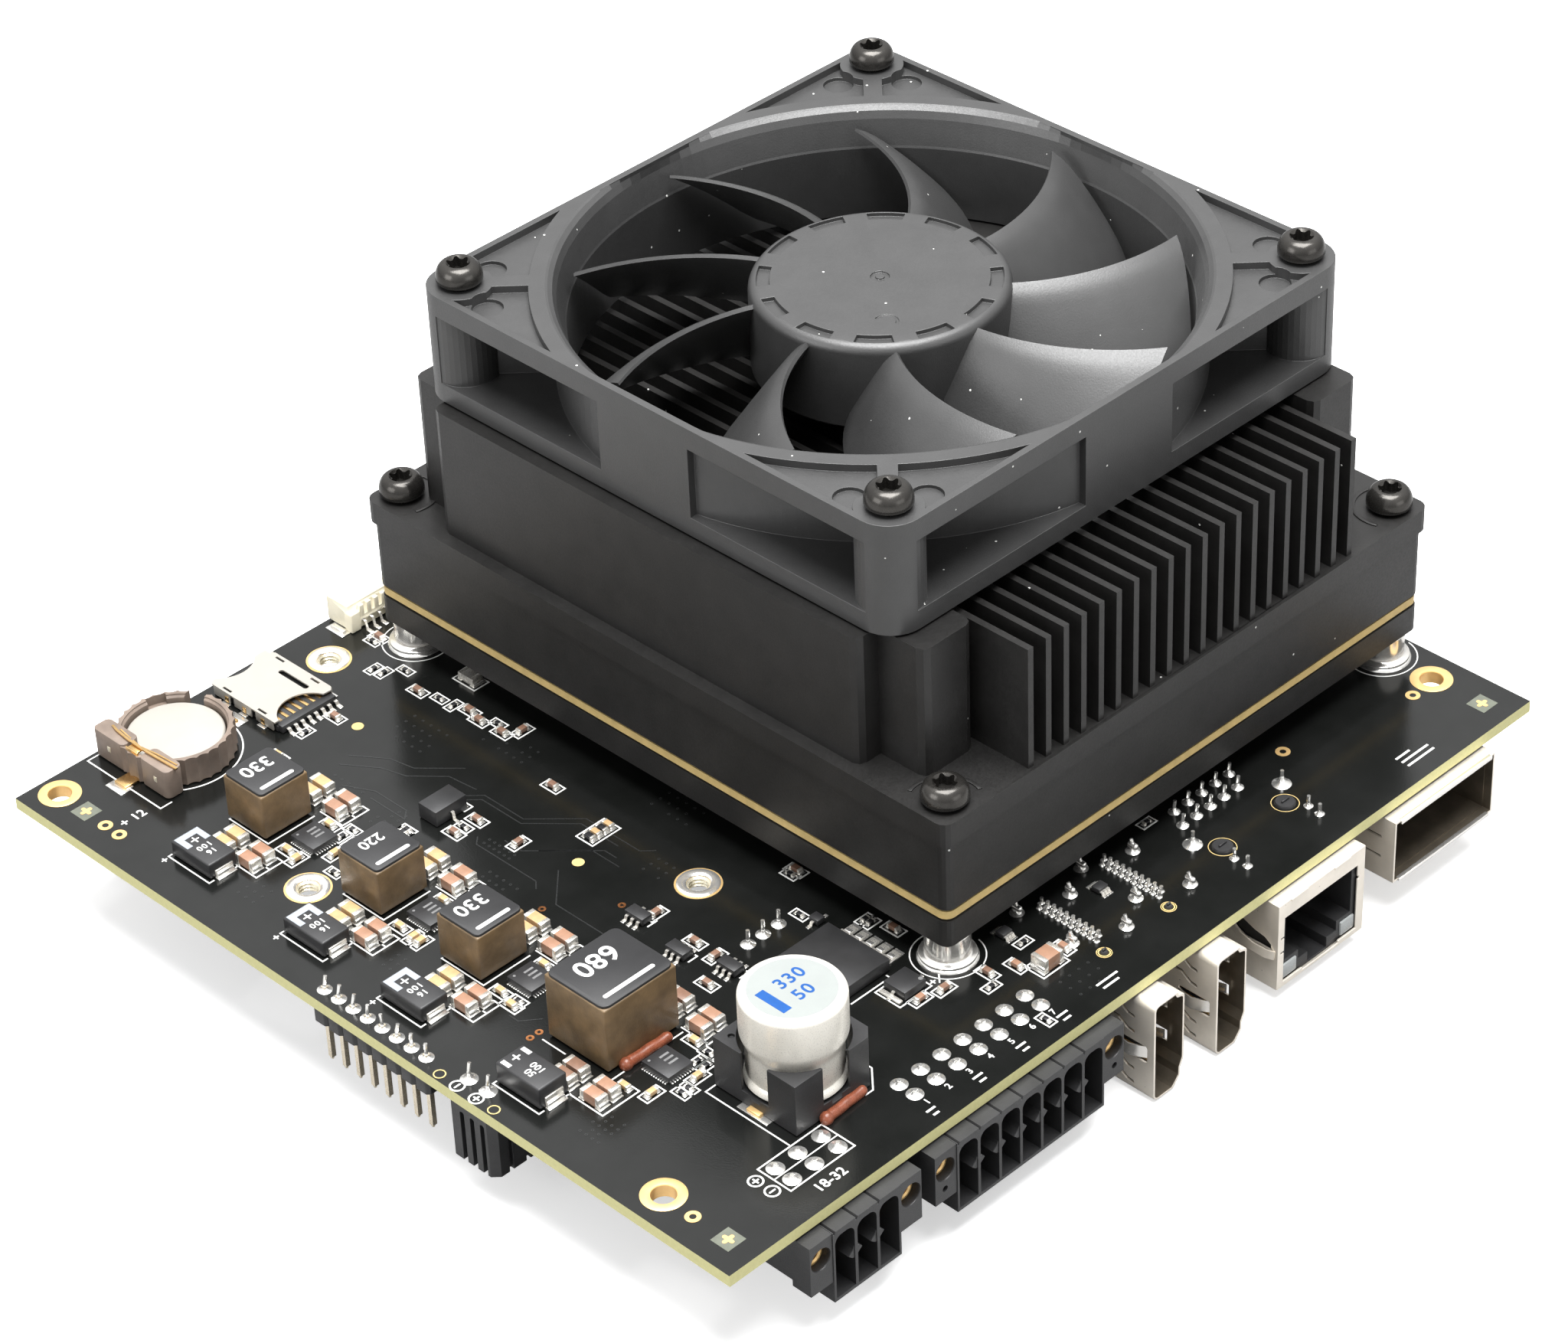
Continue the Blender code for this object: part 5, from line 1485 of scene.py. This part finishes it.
def make_standoff(index):
    """A bright turned spacer with a flange, soldered to the board."""
    node = f"module_standoff_{index}"
    high = box_mm(node)[1]
    centre = foot_mm(node)
    shape = Solid()
    profile = [(1.9, high.z), (2.6, high.z), (2.8, high.z - 0.2), (2.8, 0.95), (3.0, 0.75), (3.4, 0.7),
               (3.5, 0.6), (3.5, 0.3), (1.9, 0.3)]
    shape.lathe(centre, profile, "bright_steel", 64)
    shape.lathe(centre, [(3.0, 0.45), (3.45, 0.38), (3.7, 0.1), (3.75, -0.01), (3.0, -0.01)], "solder", 48)
    piece = shape.done(node + "_body")
    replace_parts(piece, node)

def make_board_parts():
    """Every larger part that stands on the board."""
    for index, figures in ((1, "330"), (2, "220"), (3, "330")):
        make_inductor(f"inductor_small_{index}", figures, 2.9 if figures == "330" else 2.2)
    make_inductor("inductor_large", "680", 3.9)
    for index in range(1, 4):
        make_polymer_cap(f"polymer_cap_{index}", True)
    make_polymer_cap("polymer_cap_large", False)
    make_electrolytic()
    make_coin_holder()
    make_card_socket()
    make_ivory_connector()
    make_power_switch()
    for index in range(1, 5):
        make_screw(f"fan_screw_{index}")
        make_screw(f"heatsink_screw_{index}")
        make_standoff(index)

# ---------------------------------------------------------------- heatsink details

def make_heatsink_ridges():
    """A low curved ridge on the flange beside each base screw, on the side of the blocks."""
    flange_top = 22.7
    inner, outer = 4.2, 4.75
    reach = 65
    middle = middle_mm("thermal_plate")
    shape = Solid()
    for index in range(1, 5):
        centre = middle_mm(f"heatsink_screw_{index}")
        inward = math.degrees(math.atan2(middle.y - centre.y, middle.x - centre.x))
        inward = 45 + 90 * math.floor(inward / 90)
        place = (centre.x, centre.y)
        outline = arc(place, outer, inward - reach, inward + reach, 16)
        outline += arc(place, inner, inward + reach, inward - reach, 16)
        shape.prism(outline, flange_top - 0.1, flange_top + 0.16, "anodised", 0.06)
    shape.done("heatsink_ridges")

def smooth_path(points, steps):
    """A curve through the points, with so many steps from one to the next."""
    points = [Vector(point) for point in points]
    ends = [points[0]] + points + [points[-1]]
    path = []
    for before, here, there, after in zip(ends, ends[1:], ends[2:], ends[3:]):
        for step in range(steps):
            t = step / steps
            linear = (there - before) * t
            square = (2 * before - 5 * here + 4 * there - after) * t ** 2
            cubic = (3 * here - before - 3 * there + after) * t ** 3
            path.append((2 * here + linear + square + cubic) / 2)
    return path + [points[-1]]

def make_fan_cable():
    """The sleeved cable, out of a pocket in the fan frame's back and down to the board."""
    back = FAN_HIGH.y
    out = FAN_CENTRE.x
    route = [
        (out + 18.7, back - 2.4, 50.4), (out + 18.8, back + 2.0, 50.0), (out + 18.0, back + 6.3, 47.0),
        (out + 15.8, back + 9.8, 41.0), (out + 11.8, back + 11.1, 31.0), (out + 6.8, back + 11.4, 18.0),
        (out + 3.8, back + 11.6, 8.0), (out + 3.0, back + 11.8, 3.0), (out + 3.0, back + 11.8, 0.2),
    ]
    shape = Solid()
    shape.tube(smooth_path(route, 7), 0.82, "cable_sleeve", sides=18)
    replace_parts(shape.done("fan_cable_sleeve"), "fan_cable")

# ---------------------------------------------------------------- connectors along two edges

UNDERSIDE = -BOARD_THICKNESS - 0.3

def arched_pocket(left, right, floor, top, radius):
    """A pocket's outline in x and z, with its two upper corners rounded."""
    outline = [(left, floor), (right, floor)]
    outline += arc((right - radius, top - radius), radius, 0, 90, 5)
    outline += arc((left + radius, top - radius), radius, 90, 180, 5)
    return outline

def make_terminal_header(node, ways, drain_holes):
    """A two-row terminal header with thin dividers, coding keys, pins and a nut in each flange."""
    low, high = box_mm(node)
    middle = (low.x + high.x) / 2
    half = (WAY * ways + 0.2) / 2
    front = low.y
    first = middle - half + 0.1
    shape = Solid("black_plastic")
    shape.box((middle - half, front, low.z), (middle + half, high.y, UNDERSIDE))
    for side in (-1, 1):
        near, far = sorted((middle + side * (half - 0.1), middle + side * (half + 3.5)))
        shape.box((near, front + 0.12, -9.1), (far, high.y - 0.1, UNDERSIDE - 0.05))
    piece = shape.done(node + "_body")
    pockets = Solid()
    for way in range(ways):
        left = first + way * WAY + 0.22
        pockets.prism(
            arched_pocket(left, left + WAY - 0.44, -11.75, -2.75, 1.1), front - 1, 6.5, "chip_black",
            plane="XZ",
        )
        notch = first + way * WAY
        pockets.prism([(notch - 0.12, -2.3), (notch + 0.16, -2.3), (notch + 0.5, -1.7), (notch + 0.1, -1.7)],
                      front - 0.5, 0.5, "black_plastic", plane="XZ")
    bores = Solid("black_plastic")
    nut_z = -4.6
    for side in (-1, 1):
        nut_x = middle + side * (half + 1.8)
        bores.lathe(
            (nut_x, front, nut_z), [(0, 6), (1.5, 6), (1.5, 0.25), (1.85, -0.5), (0, -0.5)], steps=40,
            axis="Y",
        )
        if drain_holes:
            bores.disc((nut_x + side * 0.1, front, -7.4), 0.42, -1, 3, steps=20, axis="Y")
        outer = middle + side * (half + 3.5)
        bores.box(
            (min(outer, outer - side * 0.7), front + 3.0, -10),
            (max(outer, outer - side * 0.7), 12, -8.2),
        )
    subtract(piece, pockets, bores, crossing=True)
    soften(piece, 0.09, 2, 40.0)
    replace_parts(piece, node)
    inside = Solid()
    for way in range(1, ways):
        x = first + way * WAY
        key = [(-0.95, -0.1), (-0.3, 0.45), (-0.12, 1.0), (0.1, 0.4), (0.5, 0.55), (0.9, 0.1), (0.35, -0.35),
               (0.1, -0.75), (-0.45, -0.6)]
        shape_of_key = [(x + dx * 1.2, -7.0 + dz * 1.2) for dx, dz in key]
        inside.prism(shape_of_key, front + 0.12, 5.5, "black_plastic", 0.06, 1, plane="XZ")
    for way in range(ways):
        x = first + (way + 0.5) * WAY
        for z in (-5.3, -9.8):
            inside.box((x - 0.45, 2.6, z - 0.45), (x + 0.45, 6.6, z + 0.45), "brass", 0.15, 2)
    inside.done(node + "_keys")
    for side, word in ((-1, "left"), (1, "right")):
        nut_x = middle + side * (half + 1.8)
        nut = Solid()
        profile = [(0.95, 1.5), (1.15, 1.3), (1.4, 1.3), (1.48, 1.4), (1.48, 4.0), (0.95, 4.0)]
        nut.lathe((nut_x, front, nut_z), profile, "brass", 48, axis="Y")
        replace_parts(nut.done(f"{node}_insert_{word}"), f"{node}_nut_{word}")

def hdmi_outline(left, inset):
    """The upright shield's section: rounded on the left and stepped in at the right's two ends."""
    top = UNDERSIDE - inset
    bottom = -16.3 + inset
    near = left + inset
    right = left + 5.3 - inset
    turn = max(0.9 - inset, 0.3)
    outline = arc((near + turn, top - turn), turn, 180, 90, 5)
    outline += [(right - 1.35, top), (right - 1.05, top - 0.55), (right - 0.45, top - 0.75)]
    outline += arc((right - 0.45, top - 1.2), 0.45, 90, 0, 4)
    outline += [
        (right, bottom + 3.6), (right - 0.55, bottom + 2.4), (right - 0.6, bottom + 1.3),
        (right - 1.5, bottom + 0.25), (right - 1.8, bottom),
    ]
    outline += arc((near + turn, bottom + turn), turn, 270, 180, 5)
    return outline

def make_hdmi(index):
    """An upright shield with slit springs on its left side, a bent tab in a window, and a tongue."""
    node = f"hdmi_shield_{index}"
    low, high = box_mm(node)
    left = low.x
    shape = Solid()
    shape.prism(hdmi_outline(left, 0.0), low.y, high.y, "satin_steel", plane="XZ")
    piece = shape.done(node + "_sheet")
    hollow = Solid()
    # The inside faces take the darker metal, as painted shade.
    hollow.prism(hdmi_outline(left, 0.3), low.y - 1, high.y - 0.4, "painted_shade_metal", plane="XZ")
    slits = Solid("satin_steel")
    for z in (-4.7, -7.0, -12.6, -14.7):
        outline = [
            (0.2, z), (0.05, z - 0.2), (0.2, z - 0.4), (1.2, z - 0.25), (2.6, z + 0.75),
            (5.5, z + 0.75), (5.5, z + 1.1), (2.4, z + 1.1), (1.0, z + 0.1),
        ]
        slits.prism(outline, left - 0.5, left + 0.6, plane="YZ")
    slits.prism(
        rounded_rectangle((-1.9, -10.9), (2.9, -8.5), 0.3, 3), left - 0.5, left + 0.6,
        plane="YZ",
    )
    for z in (-5.5, -10.5):
        slits.box((left + 5.0, -0.6, z - 0.8), (left + 5.6, 3.5, z + 0.8))
    subtract(piece, hollow, slits)
    soften(piece, 0.08, 2, 40.0)
    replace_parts(piece, node)
    tabs = Solid("bright_steel")
    middle = -9.7
    tabs.tube([(left + 0.15, 3.2, middle), (left - 0.35, 1.6, middle), (left - 0.45, 0.5, middle),
               (left + 0.1, -0.7, middle), (left + 0.55, -1.5, middle)], 0, flat=(0.18, 1.7))
    for z in (-5.0, -9.9):
        tabs.tube(
            [(left + 5.15, 3.0, z), (left + 4.6, 1.6, z), (left + 4.15, 0.4, z), (left + 4.5, -0.7, z)],
            0, flat=(0.16, 1.3),
        )
    tabs.done(node + "_springs")
    insert = Solid("black_plastic")
    insert.box((left + 0.5, 6.0, -15.6), (left + 4.6, 7.9, -2.5), bevel=0.1)
    insert.box((left + 1.9, -0.8, -14.4), (left + 2.9, 6.4, -3.4), bevel=0.15, segments=2)
    for way in range(10):
        z = -4.3 - way
        for x in (left + 1.82, left + 2.9):
            insert.box((x, -0.3, z - 0.22), (x + 0.08, 6.0, z + 0.22), "brass", 0.02)
    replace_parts(insert.done(f"hdmi_insert_{index}_body"), f"hdmi_insert_{index}")

def make_ethernet():
    """A folded shield with a stepped window, light pipes, contacts and a leaf spring at its left."""
    low, high = box_mm("ethernet_jack_shield")
    shape = Solid()
    shape.box(low, high, "satin_steel")
    piece = shape.done("ethernet_sheet")
    cuts = Solid("satin_steel")
    cuts.box((low.x + 0.3, low.y + 0.3, low.z + 0.3), (high.x - 0.3, high.y - 0.3, high.z - 0.3))
    window = [
        (91.0, -4.3), (104.6, -4.3), (104.6, -6.0), (104.85, -6.0), (104.85, -6.4), (104.6, -6.4),
        (104.6, -14.0), (101.3, -14.0), (101.3, -14.35), (94.6, -14.35), (94.6, -14.0), (91.0, -14.0),
    ]
    cuts.prism(window, low.y - 1, low.y + 1, plane="XZ")
    for z in (-7.2, -9.4):
        cuts.box((90.4, low.y - 0.5, z - 0.12), (91.3, low.y + 0.6, z + 0.12))
    leaf = [
        (0.4, -7.6), (-0.6, -8.3), (-0.6, -9.0), (3.4, -9.0), (5.8, -7.9), (6.4, -6.9), (6.0, -6.0),
        (4.2, -6.4), (2.0, -7.3),
    ]
    for x in (low.x - 0.3, high.x - 0.5):
        cuts.prism(leaf, x, x + 0.8, plane="YZ")
    subtract(piece, cuts, crossing=True)
    soften(piece, 0.14, 3, 40.0)
    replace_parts(piece, "ethernet_jack_shield")
    springs = Solid("satin_steel")
    for edge, side in ((low.x, -1), (high.x, 1)):
        springs.tube(
            [
                (edge + side * 0.02, -1.2, -9.6), (edge + side * 0.5, -0.2, -9.45),
                (edge + side * 1.0, 1.6, -8.9), (edge + side * 1.05, 3.4, -8.2),
                (edge + side * 0.6, 5.2, -7.3), (edge, 6.6, -6.5),
            ],
            0, flat=(0.2, 1.25),
        )
    springs.box((92.0, low.y - 0.15, high.z - 0.35), (95.0, low.y + 0.6, high.z + 0.02), bevel=0.06)
    springs.box((100.0, low.y - 0.15, high.z - 0.35), (103.0, low.y + 0.6, high.z + 0.02), bevel=0.06)
    springs.done("ethernet_springs")
    insert = Solid()
    insert.box((90.2, -1.25, -14.4), (105.5, 18.8, -2.6), "black_plastic")
    body = insert.done("ethernet_housing")
    space = Solid()
    step = [
        (91.7, -4.4), (104.0, -4.4), (104.0, -11.3), (101.4, -11.3), (101.4, -12.7), (99.6, -12.7),
        (99.6, -14.2), (96.1, -14.2), (96.1, -12.7), (94.3, -12.7), (94.3, -11.3), (91.7, -11.3),
    ]
    space.prism(step, -3, 12.0, "black_plastic", plane="XZ")
    subtract(body, space)
    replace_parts(body, "ethernet_jack_insert")
    soften(body, 0.1, 1, 40.0)
    details = Solid()
    for x0, x1 in ((91.2, 93.7), (102.0, 104.5)):
        details.box((x0, -1.5, -13.8), (x1, 0.5, -11.8), "light_pipe", 0.15, 2)
    for way in range(8):
        x = 94.3 + way * 1.016
        details.tube(
            [(x, 11.0, -5.0), (x, 7.0, -5.1), (x, 2.6, -7.6), (x, 2.2, -7.4)], 0.2, "brass", sides=8
        )
    details.done("ethernet_contacts")

def make_cage():
    """A thin folded cage with a bright front rim, spring fingers, a top lip and inner guides; the guides and
    the inside faces are a darker metal, painted shade.
    """
    low, high = box_mm("transceiver_cage")
    shape = Solid()
    shape.box(low, high, "satin_steel")
    piece = shape.done("cage_sheet")
    cuts = Solid("satin_steel")
    # The inside faces take the darker metal, as painted shade.
    cuts.box(
        (low.x + 0.3, low.y - 1, low.z + 0.3), (high.x - 0.3, high.y - 0.3, high.z - 0.3), "painted_shade_metal"
    )
    for x in (low.x - 0.3, high.x - 0.5):
        for z in (-4.9, -7.9):
            outline = [(0.5, z), (0.3, z - 0.18), (0.5, z - 0.36), (5.0, z - 0.3), (5.0, z)]
            cuts.prism(outline, x, x + 0.8, plane="YZ")
        for y in (12.0, 22.0, 31.0):
            cuts.box((x, y, low.z + 2.6), (x + 0.8, y + 4.0, low.z + 3.0))
    for x in (115.0, 119.5, 124.0):
        cuts.box((x, 10.0, low.z - 0.5), (x + 2.6, 13.0, low.z + 0.6))
    subtract(piece, cuts, crossing=True)
    soften(piece, 0.12, 2, 40.0)
    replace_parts(piece, "transceiver_cage")
    # Pieces without a material of their own, the bars under the top and the two inner sheets, are in the
    # darker metal as painted shade.
    extras = Solid("painted_shade_metal")
    extras.box(
        (low.x + 0.9, low.y - 0.28, high.z - 0.5), (high.x - 0.9, low.y + 0.3, high.z + 0.1),
        "bright_steel", 0.08,
    )
    extras.box(
        (low.x + 0.9, low.y - 0.28, low.z - 0.08), (high.x - 0.9, low.y + 0.3, low.z + 0.35),
        "bright_steel", 0.08,
    )
    for x in (113.2, 117.6, 122.0, 126.4):
        extras.tube(
            [
                (x + 1.4, low.y + 0.1, low.z - 0.1), (x + 1.4, 0.4, low.z - 0.45),
                (x + 1.4, 3.0, low.z - 0.2), (x + 1.4, 5.0, low.z - 0.02),
            ],
            0, "satin_steel", flat=(2.0, 0.14),
        )
    for step in range(9):
        x = low.x + 1.8 + step * 2.05
        extras.box((x, 2.0, high.z - 0.75), (x + 0.7, 27.0, high.z - 0.32), bevel=0.1)
    extras.box((low.x + 0.32, low.y + 1.2, low.z + 0.32), (high.x - 0.32, 28.5, low.z + 0.42))
    extras.box((high.x - 0.42, low.y + 1.2, low.z + 0.42), (high.x - 0.32, 28.5, high.z - 0.35))
    extras.done("cage_springs")

def make_pin_header():
    """Eight plated square pins in a row of chamfered black blocks."""
    low, high = box_mm("pin_header")
    x = (low.x + high.x) / 2
    half = PIN_PITCH / 2
    cut = 0.45
    pin = 0.32
    tip = 0.14
    shape = Solid("champagne")
    for index in range(8):
        y = low.y + PIN_PITCH * (index + 0.5)
        outline = [(x - half, y - half + cut), (x - half + cut, y - half), (x + half - cut, y - half),
                   (x + half, y - half + cut), (x + half, y + half - cut), (x + half - cut, y + half),
                   (x - half + cut, y + half), (x - half, y + half - cut)]
        shape.prism(outline, UNDERSIDE - PIN_PITCH, UNDERSIDE, "black_plastic", 0.12, 2)
        shape.box((x - pin, y - pin, -10.1), (x + pin, y + pin, 0.5))
        shape.lathe((x, y, 0), [(0, -10.55), (tip, -10.55), (pin * 1.2, -10.05), (0, -10.05)], steps=4)
    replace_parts(shape.done("pin_header_body"), "pin_header")

def make_power_socket():
    """A two-way socket with upright grooves down two of its sides."""
    low, high = box_mm("power_socket")
    shape = Solid()
    shape.prism(
        [
            (low.x, low.y + 0.9), (low.x + 0.9, low.y), (high.x, low.y), (high.x, high.y),
            (low.x, high.y),
        ],
        low.z, high.z, "black_plastic",
    )
    piece = shape.done("power_socket_body")
    cuts = Solid("black_plastic")
    for y in (41.3, 43.0, 44.7):
        cuts.prism(
            arched_pocket(y - 0.35, y + 0.35, low.z - 1, -4.0, 0.3), low.x - 0.5, low.x + 0.75, plane="YZ",
        )
    for x in (3.6, 6.2):
        cuts.prism(
            arched_pocket(x - 0.3, x + 0.3, low.z - 1, -4.0, 0.28), low.y - 0.5, low.y + 0.6, plane="XZ",
        )
    for y in (41.5, 44.5):
        cuts.box((3.4, y - 1.1, low.z - 1), (5.9, y + 1.1, -4.0))
    subtract(piece, cuts, crossing=True)
    soften(piece, 0.1, 2, 40.0)
    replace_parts(piece, "power_socket")
    pins = Solid()
    for y in (41.5, 44.5):
        pins.box((4.3, y - 0.35, -9.5), (5.0, y + 0.35, -3.9), "champagne", 0.1)
    pins.done("power_socket_pins")

def make_edge_connectors():
    """Every connector that hangs under the board."""
    make_terminal_header("terminal_header_6", 3, False)
    make_terminal_header("terminal_header_14", 7, True)
    make_hdmi(1)
    make_hdmi(2)
    make_ethernet()
    make_cage()
    make_pin_header()
    make_power_socket()

# ---------------------------------------------------------------- camera, lights and floor

SKY_AS_LIGHT = (0.12, 0.6)
SKY_IN_MIRRORS = (0.4, 1.5)

def make_camera():
    """The camera stands front left of the object, above it, and leans a little."""
    azimuth = math.radians(-43.73)
    elevation = math.radians(36.17)
    lean = math.radians(-2.48)
    distance = 565.4
    target = Vector((63.0, 53.85, 20.0)) * MM
    back = Vector((
        math.sin(azimuth) * math.cos(elevation),
        -math.cos(azimuth) * math.cos(elevation),
        math.sin(elevation),
    ))
    data = bpy.data.cameras.new("camera")
    data.lens = 108.9
    data.sensor_width = 36.0
    data.shift_x = 0.0024
    data.clip_start = 0.01
    data.clip_end = 20.0
    camera = new_object("camera", data)
    turn = (-back).to_track_quat("-Z", "Y").to_matrix().to_4x4()
    camera.matrix_world = (
        Matrix.Translation(target + back * distance * MM) @ turn @ Matrix.Rotation(lean, 4, "Z")
    )
    bpy.context.scene.camera = camera

def add_softbox(name, place, target, width, height, power):
    """A rectangular light that faces a target. Sizes are in metres and power is in watts."""
    data = bpy.data.lights.new(name, "AREA")
    data.shape = "RECTANGLE"
    data.size = width
    data.size_y = height
    data.energy = power
    light = new_object(name, data)
    light.location = place
    light.rotation_euler = (Vector(target) - Vector(place)).to_track_quat("-Z", "Y").to_euler()

def light_path(tree, name):
    """1 for one sort of ray, such as Is Camera Ray, and 0 for the others."""
    return tree.nodes.new("ShaderNodeLightPath").outputs[name]

def make_floor_material():
    """Pale to the eye and in reflections, and dimmer in the light that it throws back on the sides."""
    nodes = Nodes("pale_floor")
    bounced = nodes.mix(nodes.noise(300.0), (0.2, 0.2, 0.2), (0.22, 0.22, 0.22))
    seen = nodes.mix(nodes.noise(300.0), (0.93, 0.93, 0.93), (0.95, 0.95, 0.95))
    mirrored = nodes.mix(light_path(nodes.tree, "Is Glossy Ray"), bounced, (0.42, 0.42, 0.42))
    direct = light_path(nodes.tree, "Is Camera Ray")
    nodes.set(Base_Color=nodes.mix(direct, mirrored, seen), Roughness=0.8)
    nodes.set(Emission_Color=(1.0, 1.0, 1.0, 1.0), Emission_Strength=nodes.math("MULTIPLY", direct, 0.5))
    return nodes.material

def sky_strength(tree, low, high):
    """A brightness that rises from the horizon to straight overhead."""
    split = tree.nodes.new("ShaderNodeSeparateXYZ")
    tree.links.new(tree.nodes.new("ShaderNodeTexCoord").outputs["Generated"], split.inputs[0])
    ramp = tree.nodes.new("ShaderNodeMapRange")
    tree.links.new(split.outputs["Z"], ramp.inputs["Value"])
    ramp.inputs["From Min"].default_value = -0.1
    ramp.inputs["From Max"].default_value = 0.9
    ramp.inputs["To Min"].default_value = low
    ramp.inputs["To Max"].default_value = high
    return ramp.outputs["Result"]

def choose(tree, share, first, second):
    """The first value where share is 0, and the second where it is 1."""
    pick = tree.nodes.new("ShaderNodeMix")
    tree.links.new(share, pick.inputs["Factor"])
    for socket, value in ((pick.inputs[2], first), (pick.inputs[3], second)):
        if isinstance(value, bpy.types.NodeSocket):
            tree.links.new(value, socket)
        else:
            socket.default_value = value
    return pick.outputs[0]

def make_world():
    """White behind the object, a bright surround in reflections and a softer one as light."""
    world = bpy.data.worlds.new("studio")
    bpy.context.scene.world = world
    world.use_nodes = True
    tree = world.node_tree
    light = sky_strength(tree, *SKY_AS_LIGHT)
    mirror = sky_strength(tree, *SKY_IN_MIRRORS)
    strength = choose(tree, light_path(tree, "Is Glossy Ray"), light, mirror)
    strength = choose(tree, light_path(tree, "Is Camera Ray"), strength, 1.0)
    tree.links.new(strength, tree.nodes["Background"].inputs["Strength"])
    tree.nodes["Background"].inputs["Color"].default_value = (1.0, 1.0, 1.0, 1.0)

def make_stage():
    """A pale floor under the lowest point, a white surround and large soft lights."""
    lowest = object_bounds()[0].z
    half = 4.0
    mesh = bpy.data.meshes.new("floor")
    corners = corners_of((-half, -half), (half, half))
    level = lowest - 0.3 * MM
    mesh.from_pydata([(x, y, level) for x, y in corners], [], [(0, 1, 2, 3)])
    mesh.materials.append(make_floor_material())
    floor = new_object("floor", mesh)
    make_world()
    middle = (0.07, 0.06, 0.03)
    add_softbox("top_light", (0.08, 0.0, 1.0), middle, 0.8, 0.8, 27.0)
    add_softbox("left_light", (-0.9, 0.25, 0.42), middle, 0.6, 0.5, 3.4)
    add_softbox("front_light", (0.2, -0.95, 0.25), middle, 0.7, 0.4, 1.3)
    bpy.context.scene.view_settings.view_transform = "Standard"

paint_frame()
make_fan_frame()
make_rotor()
make_plating()
make_inserts()
make_traces()
make_printing()
make_power_filters()
make_small_parts()
make_joints()
make_board_parts()
make_heatsink_ridges()
make_fan_cable()
make_edge_connectors()
make_camera()
make_stage()
